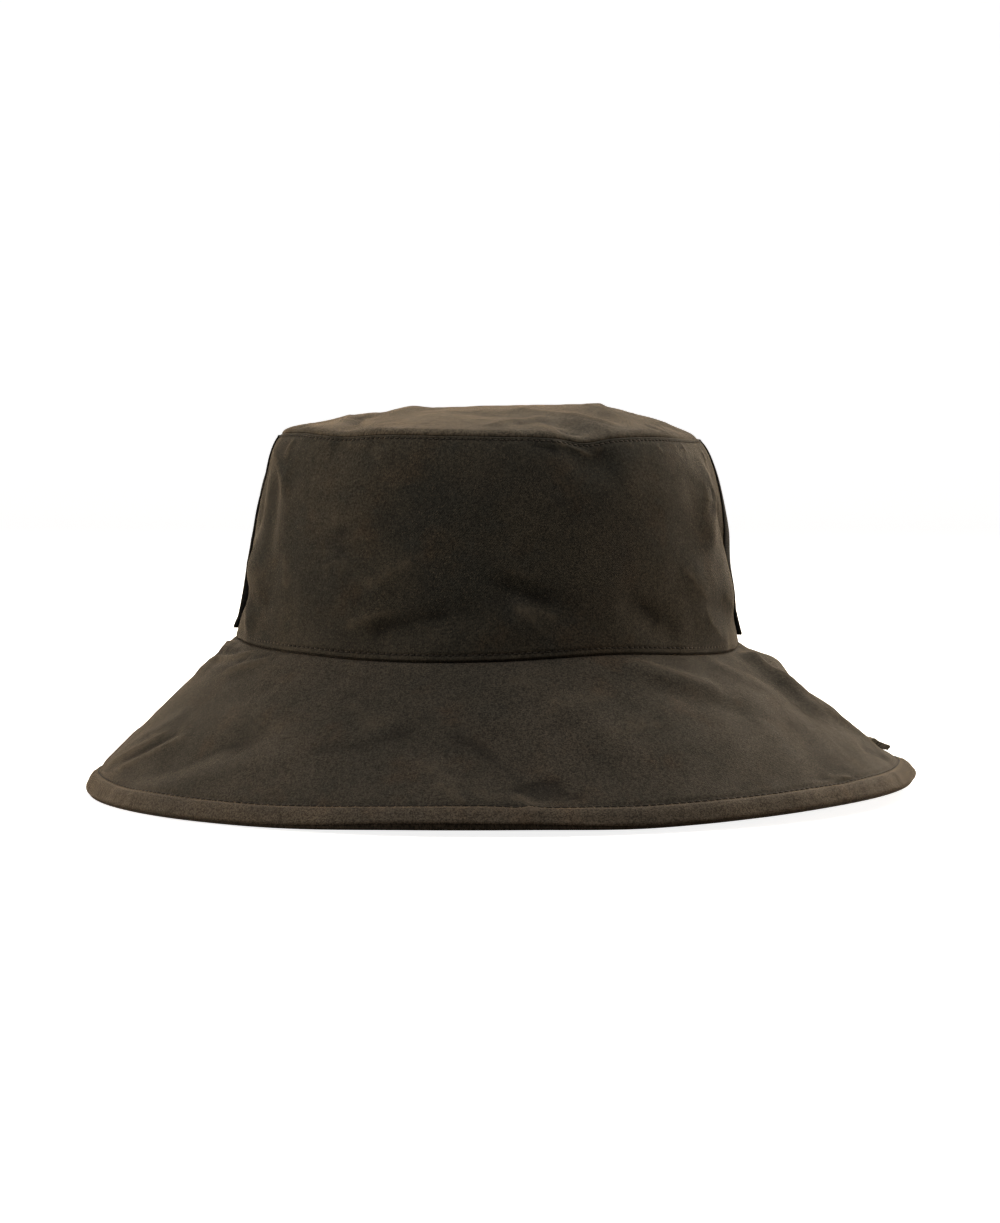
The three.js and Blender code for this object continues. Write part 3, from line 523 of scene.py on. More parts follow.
def crown_sewing(azimuth, rise):
    """The relief of the crown's two sewn edges, in millimetres outwards."""
    low = rise * CROWN_HEIGHT
    high = (1 - rise) * CROWN_HEIGHT
    arc = np.radians(azimuth) * MEAN_RADIUS
    rows = (1 - 0.97 * row_sunk(azimuth)) * stitched_row(low, CROWN_ROW, arc / CROWN_PITCH)
    rows = rows + stitched_row(high, TIP_ROW, arc / TIP_PITCH)
    puckers = (0.20 * seam_puckers(azimuth, low, 7, 5, 21) + 0.17 * seam_puckers(azimuth, high, 6, 6, 31))
    edges = edge_round(low, 0.95) + edge_round(high, 0.35)
    return rows + puckers - edges


def tip_folds(x, y):
    """The tip's wide folds and sharp creases, on the flattened oval."""
    def flat(angles, shares):
        angles = np.radians(angles)
        return np.stack([(SEAM_HALF_WIDTH - CROWN_TAPER) * np.sin(angles) * shares,
                         -(SEAM_HALF_DEPTH - CROWN_TAPER) * np.cos(angles) * shares], axis=-1)
    folds = np.zeros(x.shape)
    for start, share, end, end_share, width, height in TIP_FOLDS:
        start_point = flat(start, share)
        along = flat(end, end_share) - start_point
        distance = run_distance(x - start_point[0], y - start_point[1], *along)
        folds += TIP_FOLD * height * TIP_RISE * bell(distance, width * TIP_RISE)
    creases = np.zeros(x.shape)
    for path, width, height, lean in TIP_CREASES:
        points = np.array(path, float)
        line = flat(points[:, 0], points[:, 1])
        creases += TIP_CREASE * crease_height(x, y, line, width, height, lean)
    return folds, creases


def tip_surface(azimuth, reach, depth):
    """Points of the tip and its relief. The dome is rise * (1 - reach^2.1), its edge follows the
    crown's upper edge, folds fade by sqrt(1 - reach^2) and creases near the edge, and the underside
    is tucked down inside the crown's top."""
    top = np.ones_like(azimuth)
    edge = oval(azimuth, crown_outward(azimuth, top) + crown_relief(azimuth, top), 0, 0) - MIDDLE
    azimuth, reach = np.broadcast_arrays(azimuth, reach)
    x = edge[..., 0] * reach * 0.994
    y = edge[..., 1] * reach * 0.994
    folds, creases = tip_folds(x, y)
    seam = (BRIM_DROP + CROWN_HEIGHT) * (1 - reach ** 2) + tip_seam_height(azimuth) * reach ** 2
    dome = TIP_RISE * (1 - reach ** DOME_POWER)
    place = np.stack([x, y, seam], axis=-1)
    inner = 1 - reach
    span = inner * MEAN_RADIUS
    waves = (soft_waves(place, 13) + 0.14 * crumples(place, 10, 15)) * smoothstep(span, 0, 12)
    puckers = 0.34 * seam_puckers(azimuth, span, 6, 5, 41) * smoothstep(span, 0, 1.5)
    relief = creases * smoothstep(span, 0, 3.5) + waves + puckers
    height = seam + SEAM_GAP + CLOTH + dome + folds * np.sqrt(1 - reach ** 2) + relief
    height = height + 1.4 * x / 80 * (1 - reach ** 2)
    height = height - 0.7 * bell(turn_between(86, azimuth), 16) * reach ** 8
    rounding = 1.45 * edge_round(span, 3.2) / 3.2
    tuck = 1.3 * smoothstep(span, 1.75, 2.0) * smoothstep(6.0 - span, 0, 2.0) if depth else 0.0
    height = height - np.maximum(depth, rounding) - tuck - 0.2 * bell(span, 3.0)
    points = np.stack([x + CROWN_SHIFT, y, height], axis=-1) + MIDDLE
    return points, relief


def brim_normal(azimuth):
    """The plain cone's normal: outwards by the slope's sine and up by its cosine."""
    angle = np.radians(azimuth)
    across = math.sin(SLOPE_ANGLE)
    return np.stack(np.broadcast_arrays(np.sin(angle) * across, -np.cos(angle) * across,
                                        math.cos(SLOPE_ANGLE)), axis=-1)


def brim_relief(azimuth, slope):
    """The brim's creases, slow waves and fine crumples, in millimetres out of its face."""
    azimuth, slope = np.broadcast_arrays(azimuth, slope)
    place = oval(azimuth, BRIM_REACH * slope, BRIM_DROP * (1 - slope))
    free = smoothstep(slope, 0.0, 0.10)
    hemmed = 1 - 0.55 * smoothstep(slope, 0.84, 0.92)
    rough = crumples(place, 13, 55) * smoothstep(smooth_noise(place, 45, 59), -0.15, 0.35)
    creases = wall_creases(BRIM_CREASES, azimuth, slope, BRIM_SLOPE) * smoothstep(slope, 0.0, 0.035)
    calm = 1 - 0.6 * (bell(turn_between(-89, azimuth), 10) + bell(turn_between(88, azimuth), 10))
    return creases + free * hemmed * (0.85 * calm * soft_waves(place, 53) + 0.10 * rough)


def brim_surface(azimuth, slope, raised=0.0, cloth_relief=None):
    """Points of the brim, raised above its upper face: a straight slope from seam to rim, raised along
    its normal by a parabola (arch), by slope^8 (roll) and by the folds."""
    seam_out = crown_outward(azimuth, np.zeros_like(azimuth)) * (1 - slope)
    azimuth, slope = np.broadcast_arrays(azimuth, slope)
    if cloth_relief is None:
        cloth_relief = brim_relief(azimuth, slope)
    past_seam = smoothstep(slope, 0, 0.08)
    folds = wall_folds(BRIM_FOLDS, azimuth, slope, BRIM_SLOPE, BRIM_REACH) * past_seam
    belly = HEM_WIDTH * around_hat("arch", azimuth) * 4 * slope * (1 - slope)
    roll = HEM_WIDTH * around_hat("roll", azimuth) * slope ** 8
    outward = BRIM_REACH * around_hat("reach", azimuth) * slope + seam_out
    rim_height = HEM_DEPTH * math.cos(SLOPE_ANGLE) + HEM_WIDTH * around_hat("lift", azimuth)
    height = (seam_height(azimuth) - SEAM_GAP) * (1 - slope) + rim_height * slope
    lifted = belly + roll + folds + cloth_relief + raised
    base = oval(azimuth, outward, height, CROWN_SHIFT * (1 - slope))
    return base + brim_normal(azimuth) * lifted[..., None]


def rim_share(inward):
    """The place down the slope that lies so far in from the rim."""
    return 1 - inward / BRIM_SLOPE


# Meshes

def relief_wear_and_shade(relief, spread):
    """How much a place stands out of the cloth round it, from -1 to 1: the relief less its own mean
    over a window of so many rows and columns, by box means over running sums. Above 0 it is used as
    rubbed wear on ridges, and below 0 as painted shade in hollows."""
    def box_mean(values, half, axis):
        """The mean over 2 half + 1 places along an axis, with the edge values repeated past the edges."""
        values = np.moveaxis(values, axis, 0)
        first, last = np.repeat(values[:1], half + 1, 0), np.repeat(values[-1:], half, 0)
        padded = np.concatenate([first, values, last])
        running = np.cumsum(padded, axis=0)
        return np.moveaxis((running[2 * half + 1:] - running[:-2 * half - 1]) / (2 * half + 1), 0, axis)

    mean = relief
    for axis, half in enumerate(spread):
        mean = box_mean(box_mean(mean, half, axis), half, axis)
    return np.clip((relief - mean) / 0.32, -1, 1)


def linked(name, data):
    """A new object in the scene."""
    made = bpy.data.objects.new(name, data)
    bpy.context.scene.collection.objects.link(made)
    return made


def new_mesh(name, points, quads, corner_maps, wear_and_shade, material):
    """A smooth mesh object at the origin from points in millimetres, with UV maps by face corner and
    a point attribute that is rubbed wear above 0 and painted shade below 0. A quad whose first or
    last two corners are the same is a triangle."""
    first_pair = quads[:, 0] == quads[:, 1]
    last_pair = quads[:, 2] == quads[:, 3]
    corners = [np.arange(4), np.array([0, 2, 3]), np.array([0, 1, 2])]
    picked = [~first_pair & ~last_pair, first_pair & ~last_pair, last_pair & ~first_pair]
    vertex_index = np.concatenate([quads[pick][:, use].ravel() for pick, use in zip(picked, corners)])
    sizes = np.concatenate([np.full(int(pick.sum()), len(use)) for pick, use in zip(picked, corners)])
    starts = np.concatenate([[0], np.cumsum(sizes)[:-1]])
    used, vertex_index = np.unique(vertex_index, return_inverse=True)
    mesh = bpy.data.meshes.new(name)
    mesh.vertices.add(len(used))
    mesh.vertices.foreach_set("co", (points[used] * METRES).astype(np.float32).ravel())
    mesh.loops.add(len(vertex_index))
    mesh.loops.foreach_set("vertex_index", vertex_index.astype(np.int32))
    mesh.polygons.add(len(sizes))
    mesh.polygons.foreach_set("loop_start", starts.astype(np.int32))
    mesh.update(calc_edges=True)
    mesh.shade_smooth()
    for map_name, values in corner_maps.items():
        values = np.concatenate([values[pick][:, use].reshape(-1, 2)
                                 for pick, use in zip(picked, corners)])
        layer = mesh.uv_layers.new(name=map_name)
        layer.uv.foreach_set("vector", values.astype(np.float32).ravel())
    attribute = mesh.attributes.new("wear_and_shade", "FLOAT", "POINT")
    attribute.data.foreach_set("value", wear_and_shade[used].astype(np.float32))
    mesh.materials.append(material)
    return linked(name, mesh)


def signed_volume(points, quads):
    """Six times the volume: the sum of a . (b x c) over the two triangles of each quad."""
    a, b, c, d = (points[quads[:, k]] for k in range(4))
    return float(np.sum(a * np.cross(b, c)) + np.sum(a * np.cross(c, d)))


def lofted(name, grid, maps, wear_and_shade, material, ends="ring", outer_rows=0):
    """A closed skin over a grid of points [column][row]; the last column and the last row are the
    first again where the skin closes on itself. ends is "ring" where columns and rows both close,
    "strips" where the first and the last column are closed by strips from the outer rows to the
    inner ones, and "poles" where the columns close and the first and last row are one point each."""
    columns = grid.shape[0] - (0 if ends == "strips" else 1)
    rows = grid.shape[1] - (0 if ends == "poles" else 1)
    points = grid[:columns, :rows].reshape(-1, 3)
    column, row = np.meshgrid(np.arange(grid.shape[0] - 1), np.arange(grid.shape[1] - 1), indexing="ij")
    column = column.ravel()
    row = row.ravel()
    corner_columns = np.stack([column + 1, column, column, column + 1], axis=1)
    corner_rows = np.stack([row, row, row + 1, row + 1], axis=1)
    if ends == "strips":
        outer = np.arange(outer_rows)
        inner = rows - 1 - np.round(outer / (outer_rows - 1) * (rows - outer_rows - 1)).astype(int)
        strip = np.stack([outer[1:], outer[:-1], inner[:-1], inner[1:]], axis=1)
        corner_columns = np.concatenate([corner_columns, np.zeros_like(strip),
                                         np.full_like(strip, columns - 1)])
        corner_rows = np.concatenate([corner_rows, strip, strip[:, ::-1]])
    quads = (corner_columns % columns) * rows + corner_rows % rows
    if ends == "poles":
        quads = np.where((corner_rows == 0) | (corner_rows == rows - 1), corner_rows, quads)
    if signed_volume(points, quads) < 0:
        quads = quads[:, ::-1]
        corner_columns = corner_columns[:, ::-1]
        corner_rows = corner_rows[:, ::-1]
    corner_maps = {key: value[corner_columns, corner_rows] for key, value in maps.items()}
    return new_mesh(name, points, quads, corner_maps, wear_and_shade[:columns, :rows].ravel(), material)


def stacked(first, second):
    """Two grids as one UV grid."""
    return np.stack(np.broadcast_arrays(first, second), axis=-1)


def closed(*parts):
    """Rows side by side, with the first row again at the end."""
    return np.concatenate([*parts, parts[0][:, :1]], axis=1)


def replacing(piece, slot_name, *nodes):
    """Puts a piece on the hat's one body, in the place of construction nodes if any are named."""
    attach(piece, "root")
    if nodes:
        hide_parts(*nodes)


# Pieces

def crown_half(name, start, end, columns, material):
    """Half of the crown's side between two azimuths. Its section runs up the outer face, whose edges
    are rounded and sewn, and down the inner face, which is the outer one less the cloth."""
    seam_turn = math.degrees(SEAM_GAP / 2 / MEAN_RADIUS)
    azimuth = np.linspace(start + seam_turn, end - seam_turn, columns + 1)[:, None]
    rises = graded(CROWN_HEIGHT, 0.24, 0.82, 3.2)
    outer_rises = rises[None, :]
    inner_rises = rises[::-4][None, :]
    if inner_rises[0, -1] != 0:
        inner_rises = np.append(inner_rises, [[0.0]], axis=1)
    soft = crown_relief(azimuth, outer_rises)
    sewing = crown_sewing(azimuth, outer_rises)
    side = np.minimum(azimuth - azimuth[0], azimuth[-1] - azimuth) * math.radians(MEAN_RADIUS)
    outer = crown_surface(azimuth, outer_rises, sewing - edge_round(side, 0.7), soft)
    inner_soft = np.stack([np.interp(inner_rises[0], rises, line) for line in soft])
    inner_edge = 0.8 * (1 - smoothstep(np.minimum(inner_rises, 1 - inner_rises) * CROWN_HEIGHT, 0, 1.0))
    inner = crown_surface(azimuth, inner_rises, inner_edge - CLOTH, inner_soft)
    grid = closed(outer, inner)
    wear_and_shade = relief_wear_and_shade(soft + 0.35 * sewing, (5, 5))
    # painted shadow: the crown's lowest 0.65 mm, where it meets the brim, is darkened fully
    wear_and_shade = np.where(outer_rises * CROWN_HEIGHT < 0.65, -1.0, wear_and_shade)
    wear_and_shade = closed(wear_and_shade, np.zeros(inner.shape[:2]))
    arc = np.radians(azimuth) * MEAN_RADIUS
    rise = closed(outer_rises, inner_rises)
    low = rise * CROWN_HEIGHT
    high = (1 - rise) * CROWN_HEIGHT
    cloth = stacked(arc, low + 0 * arc)
    is_outer = np.arange(rise.shape[1]) < outer_rises.shape[1]
    near_tip = high < low
    count = np.where(near_tip, arc / TIP_PITCH, arc / CROWN_PITCH)
    across = np.where(near_tip, high - TIP_ROW, low - CROWN_ROW)
    across = np.where(is_outer, across, FAR)
    maps = {"cloth": cloth, "stitches": stacked(count, across + 0 * arc)}
    return lofted(name, grid, maps, wear_and_shade, material, "strips", outer_rises.shape[1])


def crown_tip_panel(material):
    """The tip, as rings from its middle out over the top and back underneath."""
    azimuth = np.linspace(0, 360, 541)[:, None]
    edge = np.array([3.3, 2.7, 2.2, 1.8, 1.45, 1.15, 0.88, 0.64, 0.44, 0.28, 0.16, 0.07, 0.015, 0])
    out = np.concatenate([np.linspace(0, 0.955, 78), 1 - edge / MEAN_RADIUS])
    back = np.concatenate([1 - np.array([0.0, 1.7, 2.05, 3.0, 4.0, 5.0, 6.2]) / MEAN_RADIUS,
                           np.linspace(0.90, 0, 12)])
    top, relief = tip_surface(azimuth, out[None, :], 0)
    under, _ = tip_surface(azimuth, back[None, :], CLOTH - 0.05)
    grid = np.concatenate([top, under], axis=1)
    span = (1 - np.concatenate([out, back])) * MEAN_RADIUS
    wear_and_shade = relief_wear_and_shade(relief, (5, 4))
    wear_and_shade = np.concatenate([wear_and_shade, np.zeros(under.shape[:2])], axis=1)
    cloth = grid[..., :2]
    far = stacked(np.radians(azimuth) * MEAN_RADIUS / TIP_PITCH, FAR + 0 * span[None, :])
    return lofted("tip_cloth", grid, {"cloth": cloth, "stitches": far}, wear_and_shade, material, "poles")


def brim_map(azimuth, slope):
    """The brim's cloth laid flat: the cone cut open at the back, where the way round shrinks by the
    cosine of the slope's angle."""
    turn = np.radians(np.mod(azimuth + 180, 360.001) - 180) * math.cos(SLOPE_ANGLE)
    radius = MEAN_RADIUS / math.cos(SLOPE_ANGLE) + slope * BRIM_SLOPE
    return stacked(np.sin(turn) * radius, -np.cos(turn) * radius)


def hem_dip(inward):
    """How far the brim lies under its own face, so that the hem nestles in it."""
    return 0.36 * smoothstep(HEM_WIDTH + 1.9 - inward, 0, 2.0) + 0.4 * smoothstep(5.5 - inward, 0, 2.5)


def brim_cloth(material):
    """The brim, from under the crown's side to the pocket in the hem, and back below."""
    azimuth = np.linspace(-180, 180, 921)[:, None]
    lower = rim_share(2.9)
    shares = graded(BRIM_SLOPE, 0.5, 1.2, 3.0)
    shares = shares[shares < rim_share(HEM_WIDTH + 2.2)]
    near_hem = rim_share(np.array([10.0, 9.6, 9.2, 8.9, 8.6, 8.3, 8.0, 7.6, 7.0, 4.5]))
    slopes = np.concatenate([shares, near_hem, [lower]])[None, :]
    soft = brim_relief(azimuth, slopes)
    inward = (1 - slopes) * BRIM_SLOPE
    start = slopes * BRIM_SLOPE
    puckers = 0.24 * seam_puckers(azimuth, start, 8, 6, 61) * smoothstep(start, 0, 2)
    puckers = puckers + 0.16 * seam_puckers(azimuth, np.abs(inward - HEM_WIDTH), 7, 4, 71)
    raised = puckers - hem_dip(inward)
    top = brim_surface(azimuth, slopes, raised, soft)
    below_slopes = slopes[:, ::-3]
    below_slopes = np.concatenate([below_slopes, [[0.0]]], axis=1)
    below_soft = np.stack([np.interp(below_slopes[0], slopes[0], line) for line in soft])
    below = brim_surface(azimuth, below_slopes, -BRIM_THICKNESS, below_soft)
    seam = crown_outward(azimuth, np.zeros_like(azimuth)) - CLOTH - 0.15
    level = seam_height(azimuth) - SEAM_GAP
    turned_up = oval(azimuth, seam - 0.3, level + 1.6)
    inner_top = oval(azimuth, seam, level)
    inner_low = oval(azimuth, seam - 0.3, level - BRIM_THICKNESS / math.cos(SLOPE_ANGLE))
    grid = closed(turned_up, inner_top, top, below, inner_low)
    wear_and_shade = relief_wear_and_shade(soft + puckers + 0 * azimuth, (5, 4))
    zero = np.zeros((len(azimuth), 1))
    # painted shadow: the brim's rows at the seam, under the crown's edge, are darkened fully
    wear_and_shade[:, 0] = -1.0
    wear_and_shade = np.concatenate([zero, zero - 1, wear_and_shade, 0 * below[..., 0], zero, zero], axis=1)
    slope = np.concatenate([[[-0.05]], [[-0.02]], slopes, below_slopes, [[-0.02]], [[-0.05]]], axis=1)
    cloth = brim_map(azimuth, slope)
    far = stacked(np.radians(azimuth) * 120 / HEM_PITCH, FAR + 0 * slope)
    return lofted("brim_cloth", grid, {"cloth": cloth, "stitches": far}, wear_and_shade, material)


def hem_puff(inward):
    """The hem's upper face over the brim's: a thin lip at its inner edge, a hollow for the stitches,
    and a round swelling between them and the rim, where the hem grows thin."""
    swell = 0.95 * smoothstep(HEM_ROW - 0.1 - inward, 0, 2.0) - 1.0 * smoothstep(4.2 - inward, 0, 4.6)
    lip = -0.04 - 0.6 * edge_round(HEM_WIDTH - inward, 0.5)
    return lip + swell


def curve_through(points, steps):
    """A smooth curve through a list of point arrays: between two of them it is the cubic whose end
    slopes are half the way from the point before to the point after."""
    points = [2 * points[0] - points[1]] + points + [2 * points[-1] - points[-2]]
    curve = []
    for before, start, end, after in zip(points, points[1:], points[2:], points[3:]):
        for share in np.arange(steps) / steps:
            curve.append(cubic(share, start, end, (end - before) / 2, (after - start) / 2))
    return np.stack(curve + [points[-2]], axis=1)


def hem_waves(azimuth, inward):
    """Small cross wrinkles of the hem band, gathered where it turns away at both sides."""
    places = 1.3 * bell(turn_between(-86, azimuth), 16) + bell(turn_between(90, azimuth), 14)
    gathers = places * np.cos(np.radians(azimuth) * HEM_RADIUS * 2 * math.pi / 2.3)
    angle = np.radians(azimuth)
    ring = stacked(150 * np.sin(angle), 150 * np.cos(angle))
    ring = np.concatenate([ring, 0 * ring[..., :1]], axis=-1)
    ring = ring + np.array([0, 0, 0.3]) * np.broadcast_to(inward[..., None], ring.shape[:-1] + (1,))
    waves = 0.26 * smooth_noise(ring, 10, 81) + 0.13 * smooth_noise(ring, 4.6, 84)
    middle = smoothstep(HEM_ROW - inward, 0, 2.5)
    return (waves + 0.20 * gathers) * (0.3 + 0.7 * middle)


def hem_top(azimuth, inward, soft=None, waves=None):
    """Points of the hem's upper face so far in from the rim."""
    azimuth, inward = np.broadcast_arrays(azimuth, inward)
    slope = rim_share(inward)
    if waves is None:
        waves = hem_waves(azimuth, inward)
    return brim_surface(azimuth, slope, hem_puff(inward) + waves, soft)


def hem_cloth(material):
    """The hem, folded round the brim's edge: lip, stitched hollow and swelling on top, a round rim, a
    foot that is flat where the hat lies on it, and the layer underneath."""
    azimuth = np.linspace(-180, 180, 1321)[:, None]
    inward = np.concatenate([HEM_WIDTH - np.array([0, 0.04, 0.12, 0.22, 0.36, 0.5, 0.64, 0.8, 1.0, 1.25]),
                             np.linspace(6.35, 0.2, 13)])[None, :]
    soft = brim_relief(azimuth, rim_share(inward))
    waves = hem_waves(*np.broadcast_arrays(azimuth, inward))
    top = hem_top(azimuth, inward, soft, waves)
    low = -BRIM_THICKNESS - SEAM_GAP
    one = azimuth[:, 0]
    edge_soft = soft[:, -1]
    edge_waves = waves[:, -1]
    rim = brim_surface(one, np.ones_like(one), low - HEM_LAYER / 2, np.zeros_like(one))
    floor = np.maximum(0, HEM_WIDTH * around_hat("lift", one))
    outward = oval(one, 1.0, 0, 0) - oval(one, 0.0, 0, 0)
    outward /= np.linalg.norm(outward, axis=-1, keepdims=True)
    groove = 0.35 + 0.5 * bell(turn_between(-4, one), 12) + 1.1 * bell(turn_between(56, one), 14)

    def ring(inward_by, raised, softness):
        """A ring so far in from the rim and over the brim's face, with a share of the rim's relief."""
        return brim_surface(one, rim_share(inward_by + 0 * one), raised, softness * edge_soft)

    def foot(inward_by):
        """A ring on the surface that the hat lies on."""
        point = rim - outward * inward_by
        point[:, 2] = floor
        return point

    round_rim = curve_through([
        top[:, -1], ring(-0.36, -0.40 + 0.5 * edge_waves, 0.8), ring(-0.60, -1.00, 0.5),
        ring(groove - 0.55, -1.34, 0.3), ring(-0.50, -1.70, 0.2),
        foot(-0.1), foot(HEM_LAYER / 2 + HEM_FOOT),
        ring(5.6, low - HEM_LAYER, 0.8), ring(HEM_WIDTH, low - HEM_LAYER + 0.2, 0.8),
    ], 5)[:, 1:]
    round_rim[..., 2] = np.maximum(round_rim[..., 2], floor[:, None])
    lip = brim_surface(one, rim_share(HEM_WIDTH + 0 * one), -0.26, soft[:, 0])
    inside = np.stack([ring(HEM_WIDTH, low, 0.8), ring(2.6, low, 1), ring(2.6, -0.55, 1), lip], axis=1)
    grid = closed(top, round_rim, inside)
    rows = grid.shape[1]
    relief = waves + 0.6 * (soft - edge_soft[:, None]) + 0.1
    wear_and_shade = relief_wear_and_shade(relief, (4, 4))
    # painted shadow: the hem's six lip rows are darkened as a shadow line along its inner edge
    wear_and_shade[:, :6] = -0.9
    rest = np.zeros((len(azimuth), rows - wear_and_shade.shape[1]))
    rest[:, :6] = 0.2
    # painted shade: the groove, the rim's lower outer face and the foot are darkened fully
    rest[:, 9:30] = -1.0
    wear_and_shade = np.concatenate([wear_and_shade, rest], axis=1)
    way = np.concatenate([[0], np.cumsum(np.linalg.norm(np.diff(grid[0], axis=0), axis=-1))])[None, :]
    arc = np.radians(azimuth) * HEM_RADIUS
    across = np.where(np.arange(rows) < inward.shape[1], HEM_ROW - HEM_WIDTH + way, FAR)
    maps = {"cloth": stacked(arc, way), "stitches": stacked(arc / HEM_PITCH, across)}
    return lofted("hem_cloth", grid, maps, wear_and_shade, material)


def side_tape_strip(name, side, thickness, flare, taut, material):
    """A tape over a side seam. Its inner face follows the crown a tenth of a millimetre off it, and its
    outer one lies a thickness further out, less at its edges. The loose lower end is doubled under, so
    its outer face stands away by flare * (1 - rise / 0.3)^2, and it is rounded like a quarter circle.
    Between the two rises of taut it is pulled straight over any hollow."""
    spread = math.degrees(TAPE_WIDTH / 2 / MEAN_RADIUS)
    lowest = TAPE_END_GAP / CROWN_HEIGHT
    highest = 1 - SEAM_GAP / CROWN_HEIGHT
    rises = np.linspace(lowest, highest, 121)[:, None]
    shares = np.linspace(-1, 1, 17)[None, :]
    end = (rises - lowest) * CROWN_HEIGHT
    rounded_end = np.sqrt(np.clip(1 - np.clip(1 - end / 2.6, 0, 1) ** 2, 0.02, 1))
    half = spread * (0.55 + 0.45 * rounded_end) * (1 + 0.012 * np.sin(rises * 41))
    azimuth = side * 90 + shares * half
    under = crown_outward(azimuth, rises) + crown_relief(azimuth, rises)
    seat = under + 0.5 * np.maximum(crown_sewing(azimuth, rises), -0.2) + 0.1
    low_row, high_row = (int(np.argmin(np.abs(rises[:, 0] - rise))) for rise in taut)
    part = np.clip((rises - taut[0]) / (taut[1] - taut[0]), 0, 1)
    chord = seat[low_row] * (1 - part) + seat[high_row] * part
    bridged = np.where((part > 0) & (part < 1), np.maximum(seat, chord), seat)
    away = flare * np.maximum(0, 1 - rises / 0.3) ** 2
    thick = thickness * (1 - 0.45 * np.abs(shares) ** 8) - 0.3 * (1 - smoothstep(end, 0, 0.8)) + away
    height = crown_height(azimuth, rises)
    outer = oval(azimuth, bridged + thick, height)
    inner = oval(azimuth, seat, height)
    grid = closed(outer, inner[:, ::-1])
    across = closed(shares, shares[:, ::-1]) * TAPE_WIDTH / 2
    maps = {"cloth": stacked(across, rises * CROWN_HEIGHT),
            "stitches": stacked(across * 0, FAR + 0 * rises)}
    wear_and_shade = np.zeros(grid.shape[:2])
    return lofted(name, grid, maps, wear_and_shade, material, "strips", 17)


def tab_cloth(material):
    """The brim's tab: a small flat strip, thick and folded at its long edges, that lies on the brim."""
    middle_radius = MEAN_RADIUS + BRIM_REACH * TAB_PLACE
    spread = math.degrees(TAB_LENGTH / 2 / middle_radius)
    half = 0.46 * TAB_WIDTH / BRIM_SLOPE
    along = 2 * graded(TAB_LENGTH, 0.16, 0.6, 1.0) - 1
    drop = np.array([0.94, 0.75, 0.5, 0.25])
    along = np.concatenate([np.full(4, -1.0), along, np.full(4, 1.0)])[:, None]
    wall = np.concatenate([drop, np.zeros(len(along) - 8), drop[::-1]])[:, None]
    azimuth = TAB_AZIMUTH + spread * along
    shares = (2 * graded(TAB_WIDTH, 0.16, 0.5, 0.9) - 1)[None, :]
    slopes = TAB_PLACE - 0.012 + shares * half
    under = brim_relief(azimuth, slopes)
    seat = 0.75 * under + 0.25 * under.max()
    edge = (1 - np.abs(shares)) * TAB_WIDTH / 2
    end = (1 - np.abs(along)) * TAB_LENGTH / 2
    rounding = edge_round(edge, 0.35) + edge_round(end, 0.3)
    padding = 0.22 * bell(edge - 1.0, 0.8) - 0.16 * bell(end - 1.9, 0.3)
    lowest = 0.5
    thick = SEAM_GAP + 1.75 * TAB_THICKNESS + padding - np.minimum(rounding, 0.6)
    thick = lowest + (thick - lowest) * (1 - wall)
    outer = brim_surface(azimuth, slopes, thick, seat)
    inner = brim_surface(azimuth, slopes, lowest, seat)[:, ::-1]
    grid = closed(outer, inner)
    arc = (azimuth - TAB_AZIMUTH) * math.radians(middle_radius)
    across = closed(shares, shares[:, ::-1]) * TAB_WIDTH / 2
    wear_and_shade = relief_wear_and_shade(padding + 0 * shares, (2, 2)) + 0.2
    wear_and_shade = closed(wear_and_shade, 0 * inner[..., 0])
    maps = {"cloth": stacked(arc, across), "stitches": stacked(0 * arc, FAR + 0 * across)}
    return lofted("tab_cloth", grid, maps, wear_and_shade, material, "strips", outer.shape[1])


def stitch_row(name, surface, normal, azimuths, material):
    """A row of stitches along a surface. Each is a thin round thread between two holes that are a
    pitch apart: its height over the cloth is r * (1.1 - 2.4 t^4), t from -1 to 1 along it, and its
    ring of six points has the radius r * (1 - 0.35 t^6) across the thread."""
    stations = np.array([-1, -0.72, 0, 0.72, 1.0])
    start, end = azimuths[:-1], azimuths[1:]
    middle = (start + end) / 2
    half = (end - start) / 2 * 0.84
    at = middle[:, None] + half[:, None] * stations[None, :]
    centre = surface(at) + normal(at) * (THREAD * (1.1 - 2.4 * stations ** 4))[None, :, None]
    out = normal(at)
    along = np.gradient(centre, axis=1)
    along /= np.linalg.norm(along, axis=-1, keepdims=True)
    side = np.cross(out, along)
    around = np.arange(6) * math.pi / 3
    radius = THREAD * (1 - 0.35 * stations ** 6)[None, :, None, None]
    ring = (side[:, :, None] * np.cos(around)[:, None] * 1.15 + out[:, :, None] * np.sin(around)[:, None])
    points = centre[:, :, None] + ring * radius
    count = len(middle)
    stitch = np.arange(count)[:, None, None] * 30
    station = np.arange(4)[None, :, None] * 6
    corner = np.arange(6)[None, None, :]
    turned = (corner + 1) % 6
    quads = np.stack(np.broadcast_arrays(stitch + station + corner, stitch + station + turned,
                                         stitch + station + 6 + turned, stitch + station + 6 + corner), -1)
    quads = quads.reshape(-1, 4)
    first = np.arange(count)[:, None] * 30
    caps = np.concatenate([first + np.array([[0, 5, 4, 3]]), first + np.array([[0, 3, 2, 1]]),
                           first + np.array([[24, 25, 26, 27]]), first + np.array([[24, 27, 28, 29]])])
    quads = np.concatenate([quads, caps])
    points = points.reshape(-1, 3)
    if signed_volume(points - points.mean(axis=0), quads) < 0:
        quads = quads[:, ::-1]
    along_map = (quads // 6 % 5) / 4 * 2.2
    maps = {"cloth": stacked(along_map + quads // 30 * 3.1, (quads % 6) * 0.2)}
    return new_mesh(name, points, quads, maps, np.zeros(len(points)), material)


